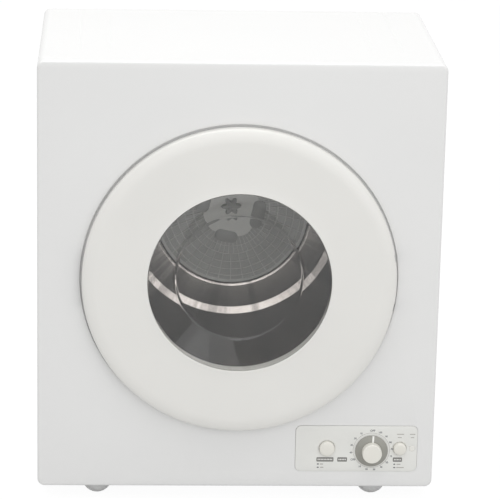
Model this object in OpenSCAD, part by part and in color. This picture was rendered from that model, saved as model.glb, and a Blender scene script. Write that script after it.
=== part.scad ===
// Compact vented clothes dryer: a sheet-steel cabinet with a round door, a drum on a rear
// shaft, a belt drive from one motor, a fan behind the drum and a heater in the top corner.
// The origin is on the floor under the middle of the cabinet's bounding box. X points to
// the right, Y from the front to the back and Z up. Depths are measured from the front face.

/* [Cabinet] */
// Width of the cabinet
cab_w = 600; // [560:2:660]
// Room between the drum and each side of the cabinet
drum_side_gap = 22; // [20:1:26]
// Room between the drum and the bottom of the cabinet
drum_low_gap = 72; // [70:1:90]
// Room between the drum and the top of the cabinet
drum_top_gap = 30; // [28:1:40]
// Room between the drum's back wall and the rear panel
rear_space = 88; // [87:1:110]
// Thickness of the sheet steel
sheet_t = 1.2; // [0.8:0.1:1.6]
// Radius of the cabinet's four long corners
corner_r = 11; // [8:0.5:16]
// Depth of the front panel's folded edge
front_flange = 18; // [14:1:22]
// Width of the flanges folded inwards
flange_w = 14; // [10:1:18]
// Width of the side panels' edges under the cabinet
base_edge = 30; // [24:1:40]
// Height of the top panel's side skirts
top_skirt = 24; // [20:1:30]
// Distance of the outer top grooves from the sides
groove_outer = 60; // [45:1:70]
// Distance of the inner top grooves from the sides
groove_inner = 105; // [85:1:130]
// Width of a top groove
groove_w = 5; // [3:0.5:8]
// Depth of a top groove
groove_t = 0.5; // [0.3:0.1:0.6]
// Distance from the front face to the front end of the outer grooves
groove_start = 86; // [60:1:120]

/* [Feet] */
// Height of a foot below the cabinet
foot_h = 22; // [16:1:30]
// Radius of a foot at its top
foot_top_r = 20; // [16:1:21]
// Radius of a foot's domed underside
foot_dome_r = 23; // [22:0.5:30]
// How far the dome is cut off where the foot stands
foot_flat = 1; // [0.6:0.1:2]
// Radius of a foot's threaded stud
foot_stud_r = 4; // [3:0.5:6]
// Length of a foot's stud above the base plate
foot_stud_len = 20; // [12:1:30]
// Distance of the feet's axes from the sides
foot_side = 90; // [60:1:120]
// Distance from the front face to a front foot's axis
foot_front = 40; // [30:1:50]
// Distance from the rear panel to a rear foot's axis
foot_rear = 40; // [34:1:60]

/* [Door] */
// Distance between the door ring and the sides
door_side = 66; // [60:1:72]
// How far the door's axis lies below the drum's
door_drop = 21; // [18:1:24]
// How far the door stands out of the front face
door_proud = 22; // [20:1:24]
// Gap between the closed door and the front face
door_gap = 2; // [1.5:0.1:3]
// Radius of the ring's rounded outer edge
rim_r = 10; // [8:0.5:10]
// Wall of the moulded door parts
door_wall = 2.6; // [2:0.1:3.2]
// Radius of the visible window
window_r = 136.5; // [130:0.5:142]
// Depth of the window's rim below the ring's front
window_sink = 5; // [3:0.5:7]
// Width of the ring's slope down to the window
slope_w = 14; // [10:1:18]
// Radius of the window bowl's flat bottom
bowl_r = 95; // [80:1:105]
// Depth of the bowl's bottom behind the front face
bowl_depth = 11; // [4:0.5:14]
// Thickness of the window
window_t = 3; // [2:0.2:4]
// Width of the window's clamped rim
window_lip = 8; // [6:0.5:9]
// Gap between the window's rim and the plug's wall
plug_hollow = 5.9; // [4:0.1:6.5]
// Clearance between the door's plug and the opening
plug_gap = 7; // [5:0.5:9]
// How far the plug reaches behind the front face
plug_depth = 18; // [12:1:20]
// Width of the door's rubber seal
seal_w = 9; // [6:0.5:12]
// Half the height of the finger grip
grip_half = 42; // [35:1:50]
// Distance of the hinge pin inside the ring's outer edge
hinge_inset = 12; // [11:0.5:13]
// Radius of the hinge pin
hinge_pin_r = 3; // [2:0.5:3.5]
// Half the distance between the hinge's two arms
hinge_half = 38; // [30:1:46]
// Height of one hinge arm
hinge_arm_h = 9; // [7:0.5:12]
// Thickness of the hinge's plates and arms
hinge_t = 2; // [1.5:0.1:2.4]
// Running clearance of pins and shafts, on the radius
run_gap = 0.05; // [0.02:0.01:0.09]
// Distance of the latch inside the ring's outer edge
latch_inset = 34; // [30:1:44]
// Width of the latch's slot
latch_w = 16; // [14:1:20]
// Height of the latch's slot
latch_h = 24; // [18:1:30]

/* [Drum] */
// Distance from the front face to the drum's front edge
drum_front = 30; // [28:1:36]
// Distance from the front face to the drum's back wall
drum_back_depth = 302; // [270:1:340]
// How far the drum's mouth stands clear of the door opening at its lowest point
mouth_room = 9; // [6:1:14]
// Radius of the raised step's inner edge in the back wall
step_in_r = 154; // [148:1:160]
// Radius of the raised step's outer edge in the back wall
step_out_r = 168; // [162:1:175]
// How far the step raises the outer back wall forwards
step_h = 4.4; // [3:0.2:8]
// Depth of the back wall's flange inside the shell
back_flange = 8; // [6:0.5:8]
// Depth of the round filter seat in the back wall
seat_depth = 10; // [8:0.5:12]
// Height of a lifter
lifter_h = 38; // [30:1:45]
// Width of a lifter at its foot
lifter_w = 64; // [50:1:80]
// Radius of the drum shaft
shaft_r = 10; // [8:0.5:12]
// Thickness of the front felt ring
felt_t = 5.7; // [4:0.1:6]
// Distance of the front bulkhead's edge inside the drum's radius
bulk_inset = 30; // [25:1:36]
// Radius of a hole in the warm-air grille
grille_r = 5; // [3:0.5:6]
// Distance between the grille's holes
grille_pitch = 16; // [14:1:20]

/* [Filter] */
// Radius of the lint filter
filter_r = 117.5; // [110:0.5:120]
// Gap between the filter and its seat
filter_gap = 1.5; // [1:0.1:3]
// Number of the filter frame's spokes
filter_spokes = 16; // [8:2:24]
// Radius of the filter's hub
filter_hub_r = 24; // [22:1:30]
// Height of the filter's lobed grip
grip_h = 9; // [6:0.5:10]

/* [Fan and exhaust] */
// Radius of the fan wheel
fan_r = 95; // [85:1:104]
// Number of fan blades
fan_blades = 24; // [12:1:36]
// Length of a fan blade
blade_len = 25; // [20:1:26]
// Radius of the fan housing's round part
fan_case_r = 136; // [130:1:142]
// Depth of the fan housing
fan_case_len = 39; // [37:1:41]
// Wall of the moulded housings
case_wall = 1.6; // [1.2:0.1:2]
// Radius of the fan's pulley
fan_pulley_r = 32; // [26:1:38]
// Outer radius of the exhaust collar
collar_r = 49.5; // [45:0.5:52]
// Distance of the exhaust collar to the left of the middle
collar_x = 88; // [84:1:92]
// Height of the exhaust collar above the floor
collar_z = 118; // [114:1:130]
// How far the exhaust collar stands out of the rear panel
rear_proud = 22; // [20:1:26]
// Depth of the pocket round the exhaust collar
pocket_d = 26; // [16:1:27]
// Width of the gap round the exhaust collar
pocket_gap = 17; // [14:1:20]

/* [Drive] */
// Distance between the motor's axis and the cabinet's right side
motor_side = 95; // [90:1:100]
// Height of the motor's axis above the floor
motor_z = 95; // [92:1:97]
// Radius of the motor
motor_r = 52; // [44:1:54]
// Length of the motor
motor_len = 106; // [80:1:110]
// Gap between the motor and its fan pulley
motor_gap = 26.2; // [20:0.2:32]
// Radius of the motor shaft
motor_shaft_r = 7; // [5:0.5:7.5]
// Radius of the drum belt's pulley
drive_pulley_r = 9; // [8.5:0.5:11]
// Radius of the fan belt's pulley on the motor
fan_drive_r = 26; // [20:1:32]
// Distance from the drum belt's front edge to the motor
belt_ahead = 35; // [34:1:44]
// Width of a belt
belt_w = 9; // [6:0.5:9]
// Thickness of a belt
belt_t = 2; // [1.5:0.1:3]
// Gap between a belt and what turns inside it
belt_gap = 0.3; // [0.2:0.05:0.5]
// Radius of the idler
idler_r = 12; // [10:0.5:13]
// Distance between the idler and the cabinet's right side
idler_side = 175; // [170:1:180]
// Height of the idler above the floor
idler_z = 92; // [90:1:93]
// Radius of the idler's axle
idler_pin_r = 3; // [2.5:0.5:4]
// Distance between the tensioner's pivot and the cabinet's right side
tension_side = 134; // [130:1:140]
// Height of the tensioner's pivot above the floor
tension_z = 52; // [48:1:56]
// Radius of the tensioner's pivot pin
tension_pin_r = 4; // [3:0.5:5]

/* [Heater] */
// Width of the heater box
heater_w = 84; // [70:1:88]
// Height of the heater box
heater_h = 74; // [60:1:78]
// Length of the heater box
heater_len = 190; // [120:5:240]
// Number of fins on the heater element
heater_fins = 15; // [8:1:20]
// Thickness of a heater fin
fin_t = 0.8; // [0.6:0.1:1.5]
// Length of the heater element
element_len = 24; // [18:1:40]
// Width of the heater element's frame
element_frame = 6; // [4:0.5:8]

/* [Controls] */
// Width of the control fascia
fascia_w = 185; // [178:1:188]
// Height of the control fascia
fascia_h = 72.5; // [68:0.5:76]
// Distance between the fascia and the cabinet's right side
fascia_side = 24.5; // [20:0.5:30]
// Height of the fascia's middle above the bottom of the face
fascia_z = 62; // [58:1:64]
// Radius of the fascia's corners
fascia_r = 8; // [5:0.5:12]
// How far the fascia stands out of the front face
fascia_proud = 0.8; // [0.4:0.1:1.5]
// Thickness of the fascia
fascia_t = 3; // [2.5:0.1:4]
// Distance of the timer knob's axis to the right of the fascia's middle
knob_right = 23; // [21:0.5:26]
// Height of the timer knob's axis above the bottom of the face
knob_z = 58.7; // [57:0.1:61]
// Radius of the knob's skirt
skirt_r = 25; // [22:0.5:26]
// Radius of the knob's cap
cap_r = 15; // [12:0.5:17]
// How far the knob's cap stands out of the fascia
knob_len = 13; // [10:0.5:17]
// Radius of the timer's shaft
timer_shaft_r = 3; // [2.5:0.5:4]
// Distance of the start button's axis to the left of the fascia's middle
start_left = 44.7; // [42:0.1:48]
// Radius of the start button
start_r = 11.8; // [10:0.1:13]
// Distance of the heat button's axis to the right of the fascia's middle
heat_right = 66; // [64:0.1:68]
// Radius of the heat button
heat_r = 9.8; // [8:0.1:10.5]
// Height of the buttons' axes above the bottom of the face
button_z = 62.5; // [60:0.1:65]
// How far a button stands out of the fascia
button_proud = 5; // [3.5:0.1:6]
// Travel of a button
button_travel = 3; // [2:0.1:3]
// Gap between a button and its hole
button_gap = 0.6; // [0.4:0.1:1]
// Radius of the indicator lens
lens_r = 4.5; // [3:0.1:5]
// Distance of the indicator lens to the right of the fascia's middle
lens_right = 85; // [83:0.1:86]
// Side of the timer's square case
timer_size = 44; // [36:1:48]
// Length of the timer's case
timer_len = 34; // [28:1:40]
// Width of a switch behind a button
switch_w = 18; // [14:1:20]
// Height of a switch behind a button
switch_h = 24; // [18:1:28]

/* [Rear] */
// Radius of the round rear cover's dome
cover_r = 104; // [96:1:108]
// Width of the rear cover's flange
cover_flange = 14; // [12:1:16]
// How far the rear cover stands out
cover_proud = 16; // [12:1:18]
// Distance of the wall bracket's holes from the sides
wall_hole_side = 100; // [80:1:110]
// Distance of the wall bracket's holes from the top and bottom
wall_hole_end = 99; // [93:1:109]
// Radius of the wall bracket's holes
wall_hole_r = 3; // [2:0.5:4]
// Radius of the screws' heads
screw_r = 4; // [3:0.5:4.5]
// Height of the screws' heads
screw_head = 2; // [1.5:0.1:2.5]
// Length of the screws' shanks
screw_len = 5; // [4:0.5:8]
// Gap between the exhaust collar and the rear panel
collar_gap = 1.2; // [0.8:0.1:2]
// Distance of the cord's gland from the side
gland_side = 48; // [40:1:60]
// Radius of the cord's gland
gland_r = 9; // [8:0.5:12]
// Radius of the hole for the cord
gland_bore_r = 4; // [3:0.5:5]
// Height of the cord gland above the bottom of the face
gland_up = 150; // [120:5:200]
// Distance of an air slot's middle from the side
vent_side = 68; // [60:1:80]
// Height of the lowest air slot above the floor
vent_z = 322; // [300:1:400]
// Number of air slots at each side
vent_rows = 8; // [4:1:12]
// Distance between the air slots
vent_pitch = 14; // [10:1:18]
// Width of an air slot
vent_w = 60; // [40:1:70]
// Height of an air slot
vent_h = 5; // [4:0.5:6]

/* [Hidden] */
$fn = 96;

// Places worked out from the sizes above
drum_r = cab_w / 2 - drum_side_gap;
face_h = drum_low_gap + 2 * drum_r + drum_top_gap;
body_d = drum_back_depth + rear_space;
door_r = cab_w / 2 - door_side;
face_y = (door_proud - body_d - rear_proud) / 2;
cab_z = foot_h;
cab_top = foot_h + face_h;
face_mid = cab_z + face_h / 2;
in_x = cab_w / 2 - sheet_t;
in_top = cab_top - sheet_t;
in_floor = cab_z + sheet_t;
rear_in = body_d - sheet_t;
skirt_z = cab_top - top_skirt;
drum_z = cab_z + drum_low_gap + drum_r;
door_z = drum_z - door_drop;
foot_x = cab_w / 2 - foot_side;
foot_rear_depth = body_d - foot_rear;
groove_outer_x = cab_w / 2 - groove_outer;
groove_inner_x = cab_w / 2 - groove_inner;
wall_hole_x = cab_w / 2 - wall_hole_side;
wall_hole_dz = face_h / 2 - wall_hole_end;
vent_x = cab_w / 2 - vent_side;
gland_x = cab_w / 2 - gland_side;

// Door
door_back = -door_gap;
rim_mid = -door_proud + rim_r;
hinge_x = door_r - hinge_inset;
latch_x = door_r - latch_inset;
hinge_depth = rim_mid - 1;
plug_r = window_r + window_lip + plug_hollow + door_wall;
lip_depth = -door_proud + window_sink;
frame_front = door_back - door_wall;
frame_r = door_r - rim_r - 0.3;
clamp_r = window_r + window_lip - door_wall;
clamp_depth = lip_depth + door_wall + window_t;
grip_x = door_r - 22;
door_open = 130;
arm_half = 3.2;
arm_reach = 15;
arm_angle = atan2(-hinge_depth, -arm_reach);
arm_len = norm([hinge_depth, arm_reach]) + 3;
hinge_plate_t = door_gap - 0.4;
neck_r = plug_r + plug_gap;
seal_r = neck_r + 4;
leaf_w = hinge_x - seal_r - seal_w - 15;
turn_gap = 0.3;

// Drum and bulkhead
bulk_depth = drum_front - 6;
bulk_r = drum_r - bulk_inset;
drum_mouth_r = neck_r + door_drop + mouth_room;
collar_out_r = drum_mouth_r - felt_t - turn_gap;
felt_len = 15;
grille_z = drum_z + (neck_r - door_drop + collar_out_r) / 2 - 1.5;
seat_r = filter_r + filter_gap;
seat_floor = drum_back_depth + seat_depth;
seat_rear = seat_floor + sheet_t;
outer_back = drum_back_depth - step_h;
drum_in_r = drum_r - sheet_t;
hub_t = 4;
hub_arm_w = 3.2 * shaft_r;
seam_r = 3;

// Fan, shaft and rear bearing
fan_case_front = seat_rear + 8;
fan_case_rear = fan_case_front + fan_case_len;
fan_back = fan_case_rear - 7;
fan_plate_t = 2;
inlet_r = fan_r + 12;
duct_w = 2 * (fan_case_r - collar_x);
duct_bottom = collar_z - duct_w / 2 - 4;
pulley_depth = fan_case_rear + 4;
pulley_w = belt_w + 3;
bearing_len = 8;
bearing_depth = pulley_depth + pulley_w + 1;
bearing_r = 2 * shaft_r;
bearing_house_r = 2.4 * shaft_r;
hub_r = 1.6 * shaft_r;

// Angle between the points of a belt's round stretches
belt_step = 3;

// Motor
motor_x = cab_w / 2 - motor_side;
idler_x = cab_w / 2 - idler_side;
tension_x = cab_w / 2 - tension_side;
motor_front = pulley_depth - motor_gap - motor_len;
belt_depth = motor_front - belt_ahead;
motor_rear = motor_front + motor_len;
rotor_r = 34;
motor_wall = 3;
stub_front = belt_depth - 4;
belt_plane = belt_depth + belt_w;
plate_t = 3;
arm_depth = belt_plane + 2;
bracket_depth = arm_depth + plate_t + 1;

// Height of the power cord's gland
gland_z = cab_z + gland_up;

// Heater
heater_x = 2 - in_x + flange_w;
heater_z = in_top - 4 - heater_h;
duct_front = sheet_t + 0.8;
port_w = 62;

// Controls
fascia_x = cab_w / 2 - fascia_side - fascia_w / 2;
knob_x = fascia_x + knob_right;
start_x = fascia_x - start_left;
heat_x = fascia_x + heat_right;
lens_x = fascia_x + lens_right;
fascia_front = -fascia_proud;
ctl_knob_z = cab_z + knob_z;
ctl_button_z = cab_z + button_z;
fascia_mid_z = cab_z + fascia_z;
switch_depth = fascia_front + fascia_t + 5 + button_travel;

// A rectangle with round corners, about its own middle
module rounded(w, h, r) {
  square([w - 2 * r, h], center = true);
  square([w, h - 2 * r], center = true);
  for (x = [-1, 1], y = [-1, 1]) translate([x * (w / 2 - r), y * (h / 2 - r)]) circle(r);
}

// Extrudes a front-view drawing over t, starting at a depth behind the front face
module slab(depth, t) {
  translate([0, face_y + depth + t, 0]) rotate([90, 0, 0]) linear_extrude(t) children();
}

// Turns a drawing of [radius, depth] about an axis that runs from front to back
module spun(x, z) {
  translate([x, face_y, z]) rotate([-90, 0, 0]) rotate_extrude() children();
}

// A straight round bar along the depth
module bar(x, z, r, depth, len) {
  translate([x, face_y + depth, z]) rotate([-90, 0, 0]) cylinder(r = r, h = len);
}

// A tube along the depth
module tube(x, z, ro, ri, depth, len) {
  spun(x, z) translate([ri, depth]) square([ro - ri, len]);
}

// A box given by its corner in x, depth and z
module block(x, depth, z, size) {
  translate([x, face_y + depth, z]) cube(size);
}

// Points along an arc
function arc(cx, cy, r, a0, a1, n = 8) =
  [for (i = [0:n]) let (a = a0 + (a1 - a0) * i / n) [cx + r * cos(a), cy + r * sin(a)]];

// Cross-section of the cabinet's shell
module shell_section() {
  translate([0, face_mid]) difference() {
    rounded(cab_w, face_h, corner_r);
    rounded(cab_w - 2 * sheet_t, face_h - 2 * sheet_t, corner_r - sheet_t);
  }
}

// ---------------------------------------------------------------- cabinet

module fascia_outline(gap = 0) {
  translate([fascia_x, fascia_mid_z])
    rounded(fascia_w + 2 * gap, fascia_h + 2 * gap, fascia_r + gap);
}

module front_panel() {
  color("whitesmoke") difference() {
    union() {
      slab(0, front_flange) shell_section();
      slab(0, sheet_t) translate([0, face_mid]) rounded(cab_w, face_h, corner_r);
    }
    bar(0, door_z, neck_r, -1, sheet_t + 2);
    slab(-1, sheet_t + 2) fascia_outline(0.4);
    slab(-1, sheet_t + 2) translate([-latch_x, door_z]) square([latch_w, latch_h], center = true);
  }
}

module side_panel(side) {
  color("gainsboro") difference() {
    union() {
      slab(front_flange, rear_in - front_flange) intersection() {
        shell_section();
        translate([side * cab_w / 2 - base_edge, 0]) square([2 * base_edge, skirt_z]);
      }
      for (depth = [front_flange, rear_in - sheet_t])
        slab(depth, sheet_t) translate([side * (in_x - flange_w / 2 + sheet_t / 4), face_mid])
          square([flange_w + sheet_t / 2, face_h - 2 * (top_skirt + flange_w)], center = true);
    }
    panel_screws() shank_hole(rear_in - sheet_t);
  }
}
module left_side_panel() { side_panel(-1); }
module right_side_panel() { side_panel(1); }

module top_panel() {
  color("white") difference() {
    union() {
      slab(front_flange, body_d - front_flange) intersection() {
        shell_section();
        translate([-cab_w / 2 - 1, skirt_z]) square([cab_w + 2, top_skirt + 1]);
      }
      slab(rear_in, sheet_t) intersection() {
        translate([0, face_mid]) rounded(cab_w, face_h, corner_r);
        translate([-cab_w / 2 - 1, skirt_z]) square([cab_w + 2, top_skirt + 1]);
      }
    }
    for (side = [-1, 1]) {
      top_groove(side * groove_outer_x, groove_start, body_d - 8);
      top_groove(side * groove_inner_x, groove_start + 14, body_d - 54);
    }
    panel_screws() shank_hole(rear_in);
  }
}

// A round-ended groove pressed into the top
module top_groove(x, from, to) {
  translate([x, face_y, cab_top - groove_t]) {
    translate([-groove_w / 2, from, 0]) cube([groove_w, to - from, groove_t + 1]);
    for (depth = [from, to]) translate([0, depth, 0]) cylinder(r = groove_w / 2, h = groove_t + 1);
  }
}

module rear_panel() {
  color("silver") difference() {
    union() {
      slab(rear_in, sheet_t) intersection() {
        translate([0, face_mid]) rounded(cab_w, face_h, corner_r);
        translate([-cab_w / 2 - 1, 0]) square([cab_w + 2, skirt_z]);
      }
      // Lip behind the top panel's edge
      block(50 - cab_w / 2, rear_in - sheet_t, skirt_z - 8, [cab_w - 100, sheet_t, top_skirt]);
      block(50 - cab_w / 2, rear_in - sheet_t, skirt_z - 8, [cab_w - 100, 1.5 * sheet_t, 8]);
      // Pocket round the exhaust collar
      tube(-collar_x, collar_z, collar_r + pocket_gap + sheet_t, collar_r + pocket_gap,
        body_d - pocket_d - sheet_t / 2, pocket_d);
      tube(-collar_x, collar_z, collar_r + pocket_gap + sheet_t, collar_r + collar_gap,
        body_d - pocket_d - sheet_t, sheet_t);
    }
    bar(-collar_x, collar_z, collar_r + pocket_gap, body_d - pocket_d, pocket_d + 1);
    bar(0, drum_z, cover_r - 4, rear_in - 1, sheet_t + 2);
    for (x = [-1, 1], z = [-1, 1])
      bar(x * wall_hole_x, face_mid + z * wall_hole_dz, wall_hole_r, rear_in - 1, sheet_t + 2);
    // Air intake slots at both sides
    for (side = [-1, 1], row = [0:vent_rows - 1]) slab(rear_in - 1, sheet_t + 2)
      translate([side * vent_x, vent_z + row * vent_pitch]) rounded(vent_w, vent_h, vent_h / 2 - 0.1);
    bar(gland_x, gland_z, gland_r, rear_in - 1, sheet_t + 2);
    panel_screws() shank_hole(rear_in - sheet_t);
    cover_screws() shank_hole(rear_in);
  }
}

module base_plate() {
  color("darkgray") difference() {
    union() {
      slab(front_flange, rear_in - front_flange) intersection() {
        shell_section();
        translate([base_edge - cab_w / 2, 0]) square([cab_w - 2 * base_edge, in_floor + 1]);
      }
      for (depth = [front_flange, rear_in - sheet_t])
        block(base_edge - cab_w / 2, depth, in_floor - sheet_t / 2,
          [cab_w - 2 * base_edge, sheet_t, flange_w + sheet_t / 2]);
    }
    for (x = [-1, 1], depth = [foot_front, foot_rear_depth])
      translate([x * foot_x, face_y + depth, cab_z - 1])
        cylinder(r = foot_stud_r + run_gap, h = sheet_t + 2);
  }
}

// A levelling foot: a round pad with a domed underside, on a threaded stud
module foot(x, depth) {
  function dome(z) = sqrt(foot_dome_r ^ 2 - (foot_dome_r - foot_flat - z) ^ 2);
  dome_top = foot_dome_r - foot_flat - sqrt(foot_dome_r ^ 2 - foot_top_r ^ 2);
  color("lightgray") translate([x, face_y + depth, 0]) rotate_extrude()
    polygon(concat([[0, 0]], [for (i = [0:8]) [dome(dome_top * i / 8), dome_top * i / 8]],
      [[foot_top_r, foot_h - 0.3], [foot_stud_r, foot_h - 0.3],
       [foot_stud_r, foot_h + sheet_t + foot_stud_len], [0, foot_h + sheet_t + foot_stud_len]]));
}
module foot_front_left() { foot(-foot_x, foot_front); }
module foot_front_right() { foot(foot_x, foot_front); }
module foot_rear_left() { foot(-foot_x, foot_rear_depth); }
module foot_rear_right() { foot(foot_x, foot_rear_depth); }

// ---------------------------------------------------------------- front bulkhead

module front_bulkhead() {
  color("lightgray") difference() {
    union() {
      // Neck behind the door opening
      tube(0, door_z, neck_r + sheet_t, neck_r, sheet_t, bulk_depth - sheet_t / 2);
      // Rim that meets the front panel
      tube(0, drum_z, bulk_r, bulk_r - sheet_t, sheet_t, bulk_depth - sheet_t / 2);
      // Plate
      slab(bulk_depth, sheet_t) difference() {
        translate([0, drum_z]) circle(bulk_r);
        translate([0, door_z]) circle(neck_r);
      }
      // Collar that carries the drum's felt ring
      tube(0, drum_z, collar_out_r, collar_out_r - sheet_t, bulk_depth + sheet_t / 2,
        felt_len + 3 + sheet_t / 2);
    }
    // Warm-air grille above the neck
    for (i = [-5:5]) bar(i * grille_pitch, grille_z - abs(i) * grille_pitch * 0.15, grille_r,
      bulk_depth - 1, sheet_t + 2);
    // Port for the air duct in the rim
    translate([0, face_y, drum_z]) rotate([0, -45, 0])
      translate([-port_w / 2 + 2, duct_front + 2, bulk_r - 12])
        cube([port_w - 4, bulk_depth - duct_front - 4, 24]);
  }
}

module front_felt_seal() {
  color("wheat") tube(0, drum_z, drum_mouth_r - turn_gap, collar_out_r,
    bulk_depth + sheet_t + 1, felt_len);
}

module latch_housing() {
  color("gray") difference() {
    slab(sheet_t, bulk_depth - sheet_t - 1) translate([-latch_x, door_z])
      square([latch_w + 10, latch_h + 22], center = true);
    slab(sheet_t - 1, bulk_depth - sheet_t - 2) translate([-latch_x, door_z])
      square([latch_w, latch_h], center = true);
  }
}

// ---------------------------------------------------------------- door

// The ring is one moulded skin: a rounded outer edge, a flat front and a slope to the window
module door_ring() {
  color("snow") difference() {
    spun(0, door_z) polygon(concat(
      arc(door_r - rim_r, rim_mid, rim_r, 90, -90, 12),
      [[window_r + slope_w, -door_proud], [window_r + slope_w / 2, -door_proud + 1],
       [window_r + 1, lip_depth - 1], [window_r, lip_depth],
       [window_r, lip_depth + door_wall], [window_r + slope_w / 2, -door_proud + 1 + door_wall],
       [window_r + slope_w, -door_proud + door_wall]],
      arc(door_r - rim_r, rim_mid, rim_r - door_wall, -90, 90, 12)));
    door_cuts();
  }
}

// Closes the ring's back, carries the plug and clamps the window's rim
module door_inner_frame() {
  color("whitesmoke") difference() {
    spun(0, door_z) polygon([
      [frame_r, frame_front], [frame_r, door_back], [plug_r, door_back], [plug_r, plug_depth],
      [clamp_r, plug_depth], [clamp_r, clamp_depth], [clamp_r + door_wall, clamp_depth],
      [clamp_r + door_wall, plug_depth - door_wall],
      [plug_r - door_wall, plug_depth - door_wall], [plug_r - door_wall, frame_front]]);
    // Straight side behind the finger grip
    block(-door_r, frame_front - 1, door_z - door_r, [door_r - grip_x, door_wall + 2, 2 * door_r]);
    door_cuts();
  }
}

module door_window() {
  color("slategray", 0.5) spun(0, door_z) polygon([
    [window_r + window_lip, lip_depth + door_wall], [window_r - 4, lip_depth + door_wall],
    [bowl_r, bowl_depth - window_t], [0, bowl_depth - window_t], [0, bowl_depth],
    [bowl_r + 1.5, bowl_depth], [window_r - 2.5, clamp_depth],
    [window_r + window_lip, clamp_depth]]);
}

module door_seal() {
  color("dimgray") tube(0, door_z, seal_r + seal_w, seal_r, door_back, door_gap - turn_gap);
}

// The hook that the latch holds
module door_strike() {
  color("gray") translate([-latch_x, face_y + door_back, door_z]) {
    translate([-4, 0, -7]) cube([8, 12, 14]);
    translate([0, 12, 0]) linear_extrude(14, center = true)
      polygon([[-4, 0], [4, 0], [5.5, 2], [2, 6], [-2, 6], [-4, 3]]);
  }
}

// Cuts that both door mouldings share: the finger grip and the room for the hinge's arms
module door_cuts() {
  block(-door_r - 1, rim_mid, door_z - grip_half,
    [door_r + 1 - grip_x, rim_r + door_wall, 2 * grip_half]);
  for (s = [-1, 1]) translate([hinge_x, face_y + hinge_depth, door_z + s * hinge_half])
    linear_extrude(hinge_arm_h + 2, center = true) intersection() {
      circle(arm_len + 2);
      arm_sweep(arm_half + 0.8);
    }
}

// The wedge between an arm's place with the door closed and with the door fully open
module arm_sweep(half) {
  function along(a, d) = [d * cos(a), d * sin(a)];
  closed = arm_angle;
  open = arm_angle - door_open;
  polygon([along(closed + 90, half), along(open - 90, half),
    along(open - 90, half) + along(open, 60), [60, 60], [-60, 60],
    along(closed + 90, half) + along(closed, 60)]);
}

// Plate on the front face, two arms and the hinge pin
module hinge_bracket() {
  plate_mid = -hinge_depth - hinge_plate_t / 2;
  color("lightsteelblue") {
    block(hinge_x - leaf_w, -hinge_plate_t, door_z - hinge_half - 8,
      [leaf_w - 10, hinge_plate_t, 2 * hinge_half + 16]);
    for (s = [-1, 1]) translate([hinge_x, face_y + hinge_depth, door_z + s * hinge_half])
      linear_extrude(hinge_arm_h, center = true) {
        circle(arm_half + 1.5);
        intersection() {
          rotate(arm_angle) translate([0, -arm_half]) square([arm_len + 10, 2 * arm_half]);
          translate([-60, plate_mid - 60]) square([120, 60]);
        }
      }
    translate([hinge_x, face_y + hinge_depth, door_z])
      cylinder(r = hinge_pin_r, h = 2 * hinge_half + hinge_arm_h + 2, center = true);
  }
}

// The door's half of the hinge: a barrel on the pin and a plate screwed inside the ring
module hinge_leaf() {
  leaf_h = 2 * hinge_half - hinge_arm_h - 1.6;
  color("steelblue") difference() {
    union() {
      translate([hinge_x, face_y + hinge_depth, door_z])
        cylinder(r = arm_half + 1.5, h = leaf_h, center = true);
      block(hinge_x - leaf_w, door_wall - door_proud, door_z - leaf_h / 2,
        [leaf_w, hinge_t, leaf_h]);
    }
    translate([hinge_x, face_y + hinge_depth, door_z])
      cylinder(r = hinge_pin_r + run_gap, h = leaf_h + 2, center = true);
  }
}

// ---------------------------------------------------------------- drum

module drum_shell() {
  color("silver") spun(0, drum_z) polygon([
    [drum_mouth_r, drum_front], [drum_r - 5, drum_front + 1.5], [drum_r, drum_front + 6],
    [drum_r, outer_back + sheet_t], [drum_in_r, outer_back + sheet_t],
    [drum_in_r, drum_front + 6 + sheet_t], [drum_r - 6, drum_front + 1.5 + sheet_t],
    [drum_mouth_r + sheet_t, drum_front + sheet_t], [drum_mouth_r + sheet_t, drum_front + 12],
    [drum_mouth_r, drum_front + 12]]);
}

// Back wall: a raised outer zone, a step, a flat zone and the filter's round seat
module drum_back() {
  color("gainsboro") difference() {
    spun(0, drum_z) polygon(concat(
      [[drum_in_r - sheet_t, outer_back - back_flange], [drum_in_r - sheet_t, outer_back],
       [step_out_r, outer_back], [step_in_r, drum_back_depth]],
      arc(seat_r + seam_r, drum_back_depth + seam_r, seam_r, -90, -180, 6),
      [[seat_r, seat_floor], [0, seat_floor], [0, seat_rear], [seat_r + sheet_t, seat_rear]],
      arc(seat_r + seam_r, drum_back_depth + seam_r, seam_r - sheet_t, -180, -90, 6),
      [[step_in_r + 1, drum_back_depth + sheet_t], [step_out_r + 1, outer_back + sheet_t],
       [drum_in_r, outer_back + sheet_t], [drum_in_r, outer_back - back_flange]]));
    for (i = [0:17]) rotate_about_drum(i * 20) {
      bar(seat_r / 2, drum_z, 7, seat_floor - 1, sheet_t + 2);
      bar(seat_r * 0.74, drum_z, 9, seat_floor - 1, sheet_t + 2);
    }
  }
}

// Turns its children about the drum's axis
module rotate_about_drum(angle) {
  translate([0, 0, drum_z]) rotate([0, angle, 0]) translate([0, 0, -drum_z]) children();
}

module drum_lifters() {
  color("white") for (i = [0:2]) rotate_about_drum(i * 120)
    slab(drum_front + 30, outer_back - 20 - drum_front - 30) intersection() {
      translate([0, drum_z]) circle(drum_in_r);
      translate([0, drum_z + drum_in_r]) polygon(concat([[-lifter_w / 2, 2]],
        arc(-lifter_w / 4 + 6, 8 - lifter_h, 8, 180, 270, 4),
        arc(lifter_w / 4 - 6, 8 - lifter_h, 8, 270, 360, 4), [[lifter_w / 2, 2]]));
    }
}

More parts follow.
